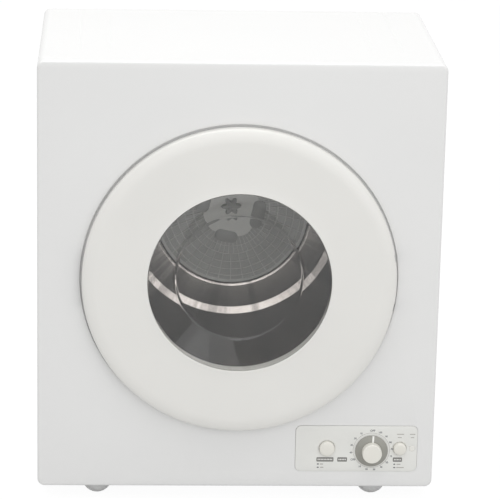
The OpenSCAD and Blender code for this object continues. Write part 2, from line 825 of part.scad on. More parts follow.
// Three-armed plate that joins the drum's back wall to the shaft
module drum_hub() {
  color("gray") difference() {
    union() {
      for (i = [0:2]) rotate_about_drum(i * 120)
        slab(seat_rear, hub_t) translate([-hub_arm_w / 2, drum_z])
          square([hub_arm_w, seat_r - 3]);
      bar(0, drum_z, 4 * shaft_r, seat_rear, hub_t);
      bar(0, drum_z, 1.8 * shaft_r, seat_rear + hub_t / 2, 7 + hub_t / 2);
    }
    bar(0, drum_z, shaft_r, seat_rear - 1, hub_t + 20);
  }
}

module drum_shaft() {
  color("lightslategray") bar(0, drum_z, shaft_r, seat_rear, rear_in - seat_rear);
}

// ---------------------------------------------------------------- filter

module filter_frame() {
  color("gray") {
    tube(0, drum_z, filter_r, filter_r - 5, drum_back_depth, seat_depth - 1);
    tube(0, drum_z, filter_hub_r, filter_hub_r - 6, drum_back_depth, seat_depth - 1);
    for (i = [1:3]) let (r = filter_hub_r + i * (filter_r - filter_hub_r) / 4)
      tube(0, drum_z, r + 1, r - 1, drum_back_depth + 1, 2);
    slab(drum_back_depth + 1, 2) translate([0, drum_z]) for (i = [0:filter_spokes - 1])
      rotate(i * 360 / filter_spokes) translate([filter_hub_r - 2, -1])
        square([filter_r - filter_hub_r - 1, 2]);
  }
}

module filter_mesh() {
  color("darkgray") tube(0, drum_z, filter_r - 5, filter_hub_r, drum_back_depth + 3, 1);
}

// Lobed grip at the filter's middle
module filter_grip() {
  color("lightgray") {
    bar(0, drum_z, filter_hub_r - 6, drum_back_depth, seat_depth - 1);
    slab(drum_back_depth - grip_h, grip_h) translate([0, drum_z]) {
      circle(7);
      for (i = [0:4]) rotate(i * 72 + 90) translate([10, 0]) circle(5);
    }
  }
}

// ---------------------------------------------------------------- fan and exhaust

module rear_felt_seal() {
  color("wheat") tube(0, drum_z, seat_r + sheet_t + 9, seat_r + sheet_t + 2,
    drum_back_depth + sheet_t + turn_gap,
    fan_case_front - drum_back_depth - sheet_t - turn_gap);
}

// Outline of the fan housing: the round case and the duct down to the exhaust
module fan_case_outline(inset = 0) {
  translate([0, drum_z]) circle(fan_case_r - inset);
  translate([-fan_case_r + inset, duct_bottom + inset])
    square([duct_w - 2 * inset, drum_z - duct_bottom]);
}

module fan_housing() {
  color("darkgray") difference() {
    slab(fan_case_front, fan_case_len) fan_case_outline();
    slab(fan_case_front + case_wall, fan_case_len - 2 * case_wall) fan_case_outline(case_wall);
    bar(0, drum_z, inlet_r, fan_case_front - 1, case_wall + 2);
    bar(0, drum_z, hub_r + 2, fan_case_rear - case_wall - 1, case_wall + 2);
    bar(-collar_x, collar_z, collar_r - case_wall, fan_case_rear - case_wall - 1, case_wall + 2);
  }
}

module fan_wheel() {
  color("dimgray") {
    tube(0, drum_z, fan_r, hub_r, fan_back, fan_plate_t);
    tube(0, drum_z, hub_r, shaft_r + run_gap, fan_back - 12,
      pulley_depth + pulley_w + 12 - fan_back);
    tube(0, drum_z, fan_r, fan_r - 16, fan_back - blade_len - fan_plate_t, fan_plate_t);
    slab(fan_back - blade_len, blade_len) translate([0, drum_z]) for (i = [0:fan_blades - 1])
      rotate(i * 360 / fan_blades) translate([fan_r - 15, 0]) rotate(28) square([14, 1.6]);
  }
}

// A flat-belt pulley with two flanges
module pulley(x, z, r, bore, depth, w, flange_h) {
  spun(x, z) polygon([[bore, depth], [r + flange_h, depth], [r + flange_h, depth + 1],
    [r, depth + 1], [r, depth + w - 1], [r + flange_h, depth + w - 1],
    [r + flange_h, depth + w], [bore, depth + w]]);
}

module fan_pulley() {
  color("silver") pulley(0, drum_z, fan_pulley_r, hub_r, pulley_depth, pulley_w, 3);
}

module exhaust_collar() {
  color("gainsboro") {
    tube(-collar_x, collar_z, collar_r, collar_r - case_wall, fan_case_rear,
      body_d + rear_proud - fan_case_rear);
    tube(-collar_x, collar_z, collar_r + 6, collar_r - case_wall, fan_case_rear, 1.2);
  }
}

module bearing_bracket() {
  color("lightsteelblue") difference() {
    union() {
      slab(rear_in - plate_t, plate_t) translate([0, drum_z])
        square([2 * (cover_r + cover_flange + 2), 2 * bearing_house_r], center = true);
      bar(0, drum_z, bearing_house_r, bearing_depth, rear_in - bearing_depth);
    }
    bar(0, drum_z, bearing_r, bearing_depth - 1, bearing_len + 1);
    bar(0, drum_z, shaft_r + 1, bearing_depth, rear_space);
    cover_screws() shank_hole(rear_in - plate_t);
  }
}

module rear_bearing() {
  color("goldenrod")
    tube(0, drum_z, bearing_r, shaft_r + run_gap, bearing_depth, bearing_len);
}

module rear_cover() {
  color("silver") difference() {
    spun(0, drum_z) polygon([
      [cover_r + cover_flange, body_d], [cover_r + cover_flange, body_d + sheet_t],
      [cover_r, body_d + sheet_t], [cover_r - 8, body_d + cover_proud], [0, body_d + cover_proud],
      [0, body_d + cover_proud - sheet_t], [cover_r - 9, body_d + cover_proud - sheet_t],
      [cover_r - 1, body_d]]);
    for (i = [0:11]) rotate_about_drum(i * 30)
      bar(0, drum_z + 70, 4, body_d + cover_proud - 3, 6);
    cover_screws() shank_hole(body_d);
  }
}

// ---------------------------------------------------------------- drive

module motor_housing() {
  color("dimgray") difference() {
    bar(motor_x, motor_z, motor_r, motor_front, motor_len);
    bar(motor_x, motor_z, motor_r - motor_wall, motor_front + motor_wall,
      motor_len - 2 * motor_wall);
    bar(motor_x, motor_z, motor_shaft_r + run_gap, motor_front - 1, motor_len + 2);
  }
}

// Two ring clamps on a foot that is screwed to the base
module motor_bracket() {
  foot_w = 80;
  color("lightsteelblue") {
    for (depth = [motor_front + 8, motor_rear - 8 - plate_t])
      slab(depth, plate_t) translate([motor_x, motor_z]) difference() {
        union() {
          circle(motor_r + 5);
          translate([-foot_w / 2, in_floor - motor_z])
            square([foot_w, motor_z - in_floor]);
        }
        circle(motor_r);
        translate([-foot_w, in_floor - motor_z - 20]) square([2 * foot_w, 20]);
      }
    block(motor_x - foot_w / 2, motor_front + 8, in_floor, [foot_w, motor_len - 16, plate_t]);
  }
}

module motor_rotor() {
  color("slategray") {
    bar(motor_x, motor_z, motor_shaft_r, stub_front, pulley_depth + pulley_w - stub_front);
    bar(motor_x, motor_z, rotor_r, motor_front + 14, motor_len - 28);
  }
}

module drive_pulley() {
  color("silver") pulley(motor_x, motor_z, drive_pulley_r, motor_shaft_r,
    belt_depth - 1.5, belt_w + 3, 3);
}

module fan_drive_pulley() {
  color("silver") pulley(motor_x, motor_z, fan_drive_r, motor_shaft_r,
    pulley_depth, pulley_w, 3);
}

// Angle on both wheels of the straight run from wheel a to wheel b, wheels as [x, z, radius]
function run_angle(a, b) = atan2(b[1] - a[1], b[0] - a[0])
  - acos((a[2] - b[2]) / norm([b[0] - a[0], b[1] - a[1]]));

// Outline round wheels that are listed anticlockwise, at a distance from them
function loop_points(wheels, out) = [for (i = [0:len(wheels) - 1]) let (
    n = len(wheels), here = wheels[i], from = run_angle(wheels[(i + n - 1) % n], here),
    leave = run_angle(here, wheels[(i + 1) % n]), to = leave < from ? leave + 360 : leave,
    steps = ceil((to - from) / belt_step))
  for (k = [0:steps]) let (a = from + (to - from) * k / steps)
    [here[0] + (here[2] + out) * cos(a), here[1] + (here[2] + out) * sin(a)]];

module belt(wheels, depth) {
  slab(depth, belt_w) difference() {
    polygon(loop_points(wheels, belt_gap + belt_t));
    polygon(loop_points(wheels, belt_gap));
  }
}

module drive_belt() {
  color("black") belt([[0, drum_z, drum_r], [idler_x, idler_z, idler_r],
    [motor_x, motor_z, drive_pulley_r]], belt_depth);
}

module fan_belt() {
  color("black") belt([[0, drum_z, fan_pulley_r], [motor_x, motor_z, fan_drive_r]],
    pulley_depth + 1.5);
}

// Upright plate on the base with the tensioner's pivot pin
module tensioner_bracket() {
  color("lightsteelblue") {
    block(tension_x - 22, bracket_depth, in_floor, [44, plate_t, tension_z + 10 - in_floor]);
    block(tension_x - 22, bracket_depth - 16, in_floor, [44, 16, plate_t]);
    bar(tension_x, tension_z, tension_pin_r, belt_depth + 2, bracket_depth - belt_depth - 2);
  }
}

module tensioner_arm() {
  reach = norm([tension_x - idler_x, idler_z - tension_z]);
  lean = atan2(idler_z - tension_z, idler_x - tension_x);
  color("silver") {
    slab(arm_depth, plate_t) difference() {
      union() {
        translate([tension_x, tension_z]) {
          circle(tension_pin_r + 5);
          rotate(lean) translate([0, -6]) square([reach, 12]);
        }
        translate([idler_x, idler_z]) circle(idler_pin_r + 4);
      }
      translate([tension_x, tension_z]) circle(tension_pin_r + run_gap);
    }
    bar(idler_x, idler_z, idler_pin_r, belt_depth - 2, arm_depth - belt_depth + 2);
  }
}

// Coil on the pivot pin with one leg along the arm
module tensioner_spring() {
  color("gray") {
    tube(tension_x, tension_z, tension_pin_r + 4, tension_pin_r + 1,
      belt_depth + 3, arm_depth - belt_depth - 3);
    slab(arm_depth - 2, 2) translate([tension_x, tension_z])
      rotate(atan2(idler_z - tension_z, idler_x - tension_x))
        translate([tension_pin_r + 2, -1]) square([24, 2]);
  }
}

module idler_pulley() {
  color("white") tube(idler_x, idler_z, idler_r, idler_pin_r + run_gap,
    belt_depth - 1, belt_w + 2);
}

// ---------------------------------------------------------------- heater

module heater_box() {
  color("lightsteelblue") difference() {
    block(heater_x, bulk_depth, heater_z, [heater_w, heater_len, heater_h]);
    block(heater_x + case_wall, bulk_depth - 1, heater_z + case_wall,
      [heater_w - 2 * case_wall, heater_len + 2, heater_h - 2 * case_wall]);
  }
}

module heater_element() {
  inner_w = heater_w - 2 * case_wall;
  inner_h = heater_h - 2 * case_wall;
  open_w = inner_w - 2 * element_frame;
  open_h = inner_h - 2 * element_frame;
  pitch = open_h / (heater_fins + 1);
  color("darkorange") translate([heater_x + case_wall, face_y + bulk_depth + heater_len / 3,
      heater_z + case_wall]) {
    difference() {
      cube([inner_w, element_len, inner_h]);
      translate([element_frame, -1, element_frame]) cube([open_w, element_len + 2, open_h]);
    }
    for (i = [1:heater_fins]) translate([element_frame, element_len / 12,
        element_frame + i * pitch - fin_t / 2])
      cube([open_w, element_len * 5 / 6, fin_t]);
  }
}

// Outline of the duct from the heater's corner to the bulkhead's rim
module duct_outline(inset) {
  translate([heater_x + inset, heater_z + inset])
    square([heater_w - 2 * inset, heater_h - 2 * inset]);
  translate([0, drum_z]) rotate(135) translate([bulk_r - 30, -port_w / 2 + inset])
    square([118 - inset, port_w - 2 * inset]);
}

module air_duct() {
  color("lightgray") difference() {
    slab(duct_front, bulk_depth - duct_front) duct_outline(0);
    slab(duct_front + case_wall, bulk_depth - duct_front - 2 * case_wall)
      duct_outline(case_wall);
    bar(0, drum_z, bulk_r, 0, bulk_depth + 2);
    block(heater_x + case_wall, bulk_depth - 5, heater_z + case_wall,
      [heater_w - 2 * case_wall, 10, heater_h - 2 * case_wall]);
  }
}

// ---------------------------------------------------------------- controls

module control_fascia() {
  color("whitesmoke") difference() {
    union() {
      slab(fascia_front, fascia_t) fascia_outline();
      slab(sheet_t, fascia_t - fascia_proud - sheet_t) fascia_outline(5);
    }
    bar(knob_x, ctl_knob_z, timer_shaft_r + 0.5, fascia_front - 1, fascia_t + 2);
    bar(start_x, ctl_button_z, start_r + button_gap, fascia_front - 1, fascia_t + 2);
    bar(heat_x, ctl_button_z, heat_r + button_gap, fascia_front - 1, fascia_t + 2);
    bar(lens_x, ctl_button_z, lens_r, fascia_front - 1, fascia_t + 2);
  }
}

module indicator_lens() {
  color("white") bar(lens_x, ctl_button_z, lens_r, fascia_front - 0.4, fascia_t + 0.4);
}

module knob_skirt() {
  color("gray") {
    spun(knob_x, ctl_knob_z) polygon([[0, fascia_front - 0.5], [skirt_r - 1, fascia_front - 0.5],
      [skirt_r, fascia_front - 1.5], [cap_r + 1, fascia_front - 5.5], [0, fascia_front - 5.5]]);
    bar(knob_x, ctl_knob_z, timer_shaft_r, fascia_front - 1, fascia_t + 14);
  }
}

module knob_cap() {
  top = fascia_front - knob_len;
  color("snow") spun(knob_x, ctl_knob_z) polygon(concat([[0, fascia_front - 5.5],
    [cap_r, fascia_front - 5.5]], arc(cap_r - 2, top + 2, 2, 0, -90, 4), [[0, top]]));
}

module timer_body() {
  back = fascia_front + fascia_t;
  color("gray") difference() {
    slab(back, timer_len) translate([knob_x, ctl_knob_z])
      square([timer_size, timer_size], center = true);
    bar(knob_x, ctl_knob_z, timer_shaft_r + run_gap, back - 1, 16);
  }
}

// A push button: a domed cap with a retaining flange behind the fascia
module button(x, r) {
  front = fascia_front - button_proud;
  back = fascia_front + fascia_t + turn_gap;
  spun(x, ctl_button_z) polygon([[0, front], [r * 0.6, front + 0.4], [r - 0.5, front + 1.5],
    [r, front + 2.5], [r, back], [r + 1.5, back], [r + 1.5, back + 1.5], [0, back + 1.5]]);
}
module start_button() { color("white") button(start_x, start_r); }
module heat_button() { color("white") button(heat_x, heat_r); }

module button_switches() {
  leg_w = switch_h / 3;
  leg_t = switch_h / 6;
  leg_mid = switch_h / 2 + leg_t / 2;
  color("dimgray") {
    for (x = [start_x, heat_x]) slab(switch_depth, switch_w) translate([x, ctl_button_z])
      square([switch_w, switch_h], center = true);
    // Bracket that holds both switches to the fascia
    for (x = [start_x, heat_x], s = [-1, 1]) block(x - leg_w / 2, fascia_front + fascia_t,
      ctl_button_z + s * (leg_mid + 0.5 * leg_t) - leg_t / 2,
      [leg_w, switch_depth + 1.5 * leg_t - fascia_front - fascia_t, leg_t]);
    for (x = [start_x, heat_x]) slab(switch_depth + 1.5 * leg_t, leg_t)
      translate([x, ctl_button_z]) square([leg_w, 2 * (leg_mid + leg_t)], center = true);
  }
}

// ---------------------------------------------------------------- small rear parts

module cord_gland() {
  color("black") difference() {
    union() {
      bar(gland_x, gland_z, gland_r, rear_in - 10, sheet_t + 10);
      bar(gland_x, gland_z, gland_r + 4, body_d, 5);
      bar(gland_x, gland_z, gland_r + 3, rear_in - 10, 8);
    }
    bar(gland_x, gland_z, gland_bore_r, rear_in - 20, 40);
  }
}

// Places of the rear panel's screws: down both sides and under the top's edge
module panel_screws() {
  for (s = [-1, 1], z = [cab_z + 60, face_mid, skirt_z - 40])
    translate([s * (in_x - flange_w / 2), 0, z]) children();
  for (s = [-1, 1], x = [80, cab_w / 2 - 80]) translate([s * x, 0, skirt_z + 8]) children();
}

// Places of the rear cover's screws
module cover_screws() {
  for (i = [0:5]) rotate_about_drum(30 + i * 60)
    translate([0, 0, drum_z + cover_r + 8]) children();
}

// A hole for a screw's shank through sheets that start at a depth
module shank_hole(depth) {
  bar(0, 0, screw_r / 2 + 0.1, depth - 1, 2 * sheet_t + 2);
}

// A screw whose head sits on a sheet's outside
module screw(depth) {
  bar(0, 0, screw_r, depth, screw_head);
  bar(0, 0, screw_r / 2, depth - screw_len, screw_len);
}

module case_screws() {
  color("lightslategray") {
    panel_screws() screw(body_d);
    cover_screws() screw(body_d + sheet_t);
  }
}

front_panel();
left_side_panel();
right_side_panel();
top_panel();
rear_panel();
base_plate();
foot_front_left();
foot_front_right();
foot_rear_left();
foot_rear_right();
front_bulkhead();
front_felt_seal();
latch_housing();
hinge_bracket();
control_fascia();
timer_body();
button_switches();
indicator_lens();
knob_skirt();
knob_cap();
start_button();
heat_button();
door_ring();
door_inner_frame();
door_window();
door_seal();
door_strike();
hinge_leaf();
drum_shell();
drum_back();
drum_lifters();
drum_hub();
drum_shaft();
filter_frame();
filter_mesh();
filter_grip();
rear_felt_seal();
fan_housing();
fan_wheel();
fan_pulley();
fan_belt();
exhaust_collar();
bearing_bracket();
rear_bearing();
rear_cover();
motor_housing();
motor_bracket();
motor_rotor();
drive_pulley();
fan_drive_pulley();
drive_belt();
tensioner_bracket();
tensioner_arm();
tensioner_spring();
idler_pulley();
heater_box();
heater_element();
air_duct();
cord_gland();
case_screws();
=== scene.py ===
import math

import bmesh
import bpy
from mathutils import Matrix, Vector
from mathutils.geometry import tessellate_polygon


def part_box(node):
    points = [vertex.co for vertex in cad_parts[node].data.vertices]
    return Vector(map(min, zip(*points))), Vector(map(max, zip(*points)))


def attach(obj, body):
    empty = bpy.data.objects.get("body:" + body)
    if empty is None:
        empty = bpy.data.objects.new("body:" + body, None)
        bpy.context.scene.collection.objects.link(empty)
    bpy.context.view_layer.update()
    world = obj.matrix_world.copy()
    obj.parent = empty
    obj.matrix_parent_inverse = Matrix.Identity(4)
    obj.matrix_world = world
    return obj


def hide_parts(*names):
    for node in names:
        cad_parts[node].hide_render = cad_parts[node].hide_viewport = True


# A compact vented clothes dryer. Sizes are in millimetres until at() turns them into metres:
# x to the right, depth from the cabinet's front face to the rear, z up from the floor.

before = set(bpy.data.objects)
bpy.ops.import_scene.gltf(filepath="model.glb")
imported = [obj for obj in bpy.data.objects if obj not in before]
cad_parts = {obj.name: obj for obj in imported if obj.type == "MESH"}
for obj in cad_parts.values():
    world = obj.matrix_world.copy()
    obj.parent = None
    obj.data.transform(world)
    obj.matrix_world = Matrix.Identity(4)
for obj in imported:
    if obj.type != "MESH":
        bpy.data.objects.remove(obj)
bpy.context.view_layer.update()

MM = 0.001
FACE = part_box("front_panel")[0].y

# The cabinet's half width, depth, lower and upper end, corner radius and sheet thickness
SIDE, DEPTH, BOTTOM, TOP = 300.0, 390.0, 22.0, 680.0
CORNER, SHEET = 11.0, 1.2
# Heights of the door's and the drum's axes
DOOR_Z, DRUM_Z = 351.0, 372.0
# The hinge's pin, the distance of its arms from the door's axis and its swing in degrees
HINGE_X, HINGE_DEPTH, HINGE_ARM, SWING = 222.0, -13.0, 38.0, 130.0
# The fascia's middle and size, and the places of what it carries
FASCIA_X, FASCIA_Z, FASCIA_W, FASCIA_H = 183.0, 84.0, 185.0, 72.5
KNOB_X, KNOB_Z = 206.0, 80.7
START_X, HEAT_X, LENS_X, KEY_Z = 138.3, 249.0, 268.0, 84.5
# The dial's marks lie round a point a little above the knob's axis
DIAL_Z = KNOB_Z + 0.8
# Depths of a print's front and back
PRINT_FRONT, PRINT_BACK = -0.86, -0.78


def at(x, depth, z):
    return Vector((x * MM, FACE + depth * MM, z * MM))


# ---- drawing


def arc(cx, cy, radius, start, end, steps):
    """Points along an arc, with angles in degrees."""
    turns = [math.radians(start + (end - start) * k / steps) for k in range(steps + 1)]
    return [(cx + radius * math.cos(t), cy + radius * math.sin(t)) for t in turns]


def ring_loop(cx, cz, radius, steps):
    return arc(cx, cz, radius, 0, 360, steps)[:-1]


def rect_loop(cx, cz, width, height, radius, steps):
    radius = max(radius, 0.05)
    points = []
    for sx, sz, start in ((1, 1, 0), (-1, 1, 90), (-1, -1, 180), (1, -1, 270)):
        x, z = cx + sx * (width / 2 - radius), cz + sz * (height / 2 - radius)
        points += arc(x, z, radius, start, start + 90, steps)
    return points


def rolled(outline, radius, front, steps):
    """Loops round a rolled edge, from the wall behind it to the front."""
    turns = [math.radians(90 * k / steps) for k in range(steps + 1)]
    return [
        (outline(radius * (1 - math.cos(t))), front + radius * (1 - math.sin(t)))
        for t in turns
    ]


def soften(corners, steps=4):
    """A closed outline of (a, b) or (a, b, fillet radius) with its corners rounded."""
    points = []
    count = len(corners)
    for i, corner in enumerate(corners):
        here = Vector(corner[:2])
        fillet = corner[2] if len(corner) > 2 else 0
        back = Vector(corners[i - 1][:2]) - here
        ahead = Vector(corners[(i + 1) % count][:2]) - here
        half = back.angle(ahead) / 2
        if not fillet or half > math.radians(89.8):
            points.append(tuple(here))
            continue
        reach = min(fillet / math.tan(half), 0.48 * back.length, 0.48 * ahead.length)
        radius = reach * math.tan(half)
        back, ahead = back.normalized(), ahead.normalized()
        centre = here + (back + ahead).normalized() * (radius / math.sin(half))
        first, last = here + back * reach - centre, here + ahead * reach - centre
        turn = first.angle(last)
        for k in range(steps + 1):
            t = k / steps
            p = first * math.sin((1 - t) * turn) + last * math.sin(t * turn)
            points.append(tuple(centre + p / math.sin(turn)))
    return points


# ---- meshes


def quads(rows, count, closed=True, turned=False, caps=False):
    """Faces between rows of count points.

    Closed rows join their own ends, turned joins the last row to the first, and caps close
    the first and the last row.
    """
    faces = []
    for i in range(rows if turned else rows - 1):
        j = (i + 1) % rows
        for k in range(count if closed else count - 1):
            m = (k + 1) % count
            faces.append((i * count + k, i * count + m, j * count + m, j * count + k))
    if caps:
        last = (rows - 1) * count
        faces += [tuple(range(count)), tuple(range(last, last + count))]
    return faces


class Shape:
    """Points and faces that are gathered before they become a mesh."""

    def __init__(self):
        self.points = []
        self.faces = []

    def add(self, points, faces):
        base = len(self.points)
        self.points += [Vector(p) for p in points]
        self.faces += [tuple(base + i for i in face) for face in faces]
        return self

    def loft(self, loops, ends=False):
        """Skins loops of equal length, each a (list of (x, z), depth)."""
        points = [at(x, depth, z) for loop, depth in loops for x, z in loop]
        self.add(points, quads(len(loops), len(loops[0][0])))
        if ends:
            self.fill([loops[0][0]], loops[0][1])
            self.fill([loops[-1][0]], loops[-1][1])
        return self

    def fill(self, loops, depth):
        """Closes the area between an outline and its holes at one depth."""
        flat = [[Vector((x, z, 0)) for x, z in loop] for loop in loops]
        triangles = tessellate_polygon(flat)
        return self.add([at(p.x, depth, p.y) for loop in flat for p in loop], triangles)

    def turn(self, place, profile, steps):
        """Turns a closed outline of [radius, height], whose points place() puts in space."""
        turns = [2 * math.pi * k / steps for k in range(steps)]
        points = [
            place(r * math.cos(t), r * math.sin(t), height)
            for t in turns
            for r, height in profile
        ]
        return self.add(points, quads(steps, len(profile), turned=True))

    def lathe(self, x, z, profile, steps):
        """Turns a closed [radius, depth] outline about an axis from front to back."""
        return self.turn(lambda a, b, depth: at(x + a, depth, z + b), profile, steps)

    def upright(self, x, depth, profile, steps):
        """Turns a closed [radius, z] outline about a vertical axis."""
        return self.turn(lambda a, b, z: at(x + a, depth + b, z), profile, steps)

    def plate(self, outer, holes, front, back, roll):
        """A plate with a rolled front edge; outer(inset) and each hole(grow) give loops."""
        outlines = [outer, *holes]
        for outline in outlines:
            self.loft([(outline(0), back), *rolled(outline, roll, front, 4)])
        self.fill([outline(roll) for outline in outlines], front)
        self.fill([outline(0) for outline in outlines], back)
        return self

    def box(self, x0, depth0, z0, x1, depth1, z1, r=0.0):
        """A block with rounded long edges, from one corner to the other."""
        outline = rect_loop((x0 + x1) / 2, (z0 + z1) / 2, x1 - x0, z1 - z0, r, 3)
        return self.loft([(outline, depth0), (outline, depth1)], ends=True)

    def mesh(self, name):
        data = bpy.data.meshes.new(name)
        data.from_pydata([tuple(p) for p in self.points], [], self.faces)
        bm = bmesh.new()
        bm.from_mesh(data)
        bmesh.ops.remove_doubles(bm, verts=bm.verts, dist=1e-6)
        bmesh.ops.dissolve_degenerate(bm, dist=1e-7, edges=bm.edges)
        bmesh.ops.recalc_face_normals(bm, faces=bm.faces)
        bm.to_mesh(data)
        bm.free()
        return data

    def piece(self, name):
        return link(name, self.mesh(name))


def turned_piece(z, name, profile, steps):
    """A piece that is turned about the axis of the door or the drum."""
    return Shape().lathe(0, z, profile, steps).piece(name)


def smooth(data, angle):
    for face in data.polygons:
        face.use_smooth = True
    data.set_sharp_from_angle(angle=math.radians(angle))


def link(name, data):
    obj = bpy.data.objects.new(name, data)
    bpy.context.scene.collection.objects.link(obj)
    return obj


def evaluated_mesh(obj):
    bpy.context.view_layer.update()
    graph = bpy.context.evaluated_depsgraph_get()
    return bpy.data.meshes.new_from_object(obj.evaluated_get(graph))


def applied(obj):
    """Works the modifiers into the object's mesh."""
    data = evaluated_mesh(obj)
    obj.modifiers.clear()
    old, obj.data = obj.data, data
    bpy.data.meshes.remove(old)
    return obj


def thicken(obj, wall):
    """Gives an open sheet its thickness, behind the side that it shows."""
    sheet = obj.modifiers.new("Sheet", "SOLIDIFY")
    sheet.thickness = wall * MM
    sheet.offset = -1
    sheet.use_even_offset = True
    return applied(obj)


def face_along(data, facing):
    """Turns an open skin so that the side it shows faces along facing."""
    total = Vector()
    for face in data.polygons:
        total += face.normal * face.area
    if total.dot(Vector(facing)) < 0:
        data.flip_normals()
    return data


def panel_sheet(name, shape, facing):
    """Turns an open skin into sheet metal whose shown side faces along facing."""
    return thicken(link(name, face_along(shape.mesh(name), facing)), SHEET)


def join_meshes(obj, extra):
    """Adds another mesh's faces to an object's mesh."""
    bm = bmesh.new()
    bm.from_mesh(obj.data)
    bm.from_mesh(extra)
    bm.to_mesh(obj.data)
    bm.free()
    bpy.data.meshes.remove(extra)


def carve(obj, tools):
    """Cuts the tools out of a closed piece, and removes them."""
    for tool in tools:
        cut = obj.modifiers.new("Cut", "BOOLEAN")
        cut.operation = "DIFFERENCE"
        cut.solver = "EXACT"
        cut.object = tool
    applied(obj)
    for tool in tools:
        bpy.data.objects.remove(tool)


def finish_piece(obj, material, body, stands_for=(), angle=38):
    """Shades a piece, gives it its finish and sets it on its body."""
    smooth(obj.data, angle)
    obj.data.materials.clear()
    obj.data.materials.append(material)
    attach(obj, body)
    if stands_for:
        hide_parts(*stands_for)


# ---- nodes


def add_node(tree, kind, inputs=None, **settings):
    """Adds a node; each input is a value, or the output that feeds it."""
    node = tree.nodes.new(kind)
    for name, value in settings.items():
        setattr(node, name, value)
    for key, value in (inputs or {}).items():
        if isinstance(value, bpy.types.NodeSocket):
            tree.links.new(value, node.inputs[key])
        else:
            node.inputs[key].default_value = value
    return node


def math_node(tree, operation, a, b=None):
    inputs = {0: a} if b is None else {0: a, 1: b}
    return add_node(tree, "ShaderNodeMath", inputs, operation=operation).outputs[0]


def times(tree, a, b):
    return math_node(tree, "MULTIPLY", a, b)


def plus(tree, a, b):
    return math_node(tree, "ADD", a, b)


def add_sockets(tree, side, sockets):
    """Adds inputs or outputs, each a label and its kind."""
    for label, kind in sockets.items():
        tree.interface.new_socket(label, in_out=side, socket_type="NodeSocket" + kind)


# ---- repeating parts


def new_tree(name, sockets):
    """A tree that takes a part, its finish and more, and gives geometry."""
    tree = bpy.data.node_groups.new(name, "GeometryNodeTree")
    shared = {"Geometry": "Geometry", "Part": "Object", "Finish": "Material"}
    add_sockets(tree, "INPUT", {**shared, **sockets})
    add_sockets(tree, "OUTPUT", {"Geometry": "Geometry"})
    return tree, tree.nodes.new("NodeGroupInput").outputs


def end_tree(tree, get, points, rotation=None):
    """Puts the part on the points, makes it real and gives it its finish."""
    part = add_node(tree, "GeometryNodeObjectInfo", {"Object": get["Part"]})
    where = {"Points": points, "Instance": part.outputs["Geometry"]}
    if rotation is not None:
        where["Rotation"] = rotation
    copies = add_node(tree, "GeometryNodeInstanceOnPoints", where).outputs["Instances"]
    real = add_node(tree, "GeometryNodeRealizeInstances", {"Geometry": copies})
    painted_copies = {"Geometry": real.outputs["Geometry"], "Material": get["Finish"]}
    paint = add_node(tree, "GeometryNodeSetMaterial", painted_copies)
    add_node(tree, "NodeGroupOutput", {"Geometry": paint.outputs["Geometry"]})
    return tree


def make_ring_tree():
    """Copies of a part turned by equal steps round an axis from front to back."""
    angles = {"First Angle": "Float", "Step Angle": "Float"}
    tree, get = new_tree("ring_of_parts", {"Count": "Int", "Centre": "Vector", **angles})
    line = add_node(tree, "GeometryNodeMeshLine", {"Count": get["Count"]})
    index = tree.nodes.new("GeometryNodeInputIndex").outputs["Index"]
    angle = plus(tree, times(tree, index, get["Step Angle"]), get["First Angle"])
    middle = {"Geometry": line.outputs["Mesh"], "Position": get["Centre"]}
    place = add_node(tree, "GeometryNodeSetPosition", middle)
    turn = add_node(tree, "ShaderNodeCombineXYZ", {"Y": times(tree, angle, -1)})
    return end_tree(tree, get, place.outputs["Geometry"], turn.outputs[0])


def make_place_tree():
    """A copy of a part on each point of the host's mesh."""
    tree, get = new_tree("parts_at_places", {})
    return end_tree(tree, get, get["Geometry"])


RING_OF_PARTS = make_ring_tree()
PARTS_AT_PLACES = make_place_tree()


def repeat(name, tree, part, values, places=()):
    """Runs a tree on a part and keeps the result as a plain mesh."""
    host_mesh = bpy.data.meshes.new(name)
    host_mesh.from_pydata([tuple(p) for p in places], [], [])
    host = link(name, host_mesh)
    modifier = host.modifiers.new("Repeat", "NODES")
    modifier.node_group = tree
    given = {"Part": part, **values}
    for item in tree.interface.items_tree:
        if item.in_out == "INPUT" and item.name in given:
            modifier[item.identifier] = given[item.name]
    applied(host)
    bpy.data.objects.remove(part)
    return host


def ring_of(name, part, count, finish, centre=(0, DRUM_Z), first=0.0, step=None):
    """Copies of a part round centre (x, z), a full circle unless a step is given."""
    values = {"Count": count, "Centre": (centre[0] * MM, 0, centre[1] * MM)}
    values["First Angle"] = first
    values["Step Angle"] = 2 * math.pi / count if step is None else step
    return repeat(name, RING_OF_PARTS, part, {**values, "Finish": finish})


def parts_at(name, part, places, finish):
    return repeat(name, PARTS_AT_PLACES, part, {"Finish": finish}, places)


# ---- shader groups


def srgb(red, green, blue):
    """A colour given as 0 to 255, as the shader's linear values."""
    values = []
    for value in (red, green, blue):
        v = value / 255
        values.append(v / 12.92 if v <= 0.04045 else ((v + 0.055) / 1.055) ** 2.4)
    return (*values, 1.0)


def new_group(name, sockets):
    """A shader group that takes a colour, a roughness and more, and gives a surface."""
    group = bpy.data.node_groups.new(name, "ShaderNodeTree")
    add_sockets(group, "INPUT", {"Colour": "Color", "Roughness": "Float", **sockets})
    surface = {"Colour": "Color", "Roughness": "Float", "Height": "Float"}
    add_sockets(group, "OUTPUT", surface)
    get = group.nodes.new("NodeGroupInput").outputs
    return group, get, group.nodes.new("ShaderNodeTexCoord").outputs["Object"]


def end_group(group, colour, roughness, height):
    surface = {"Colour": colour, "Roughness": roughness, "Height": height}
    add_node(group, "NodeGroupOutput", surface)
    return group


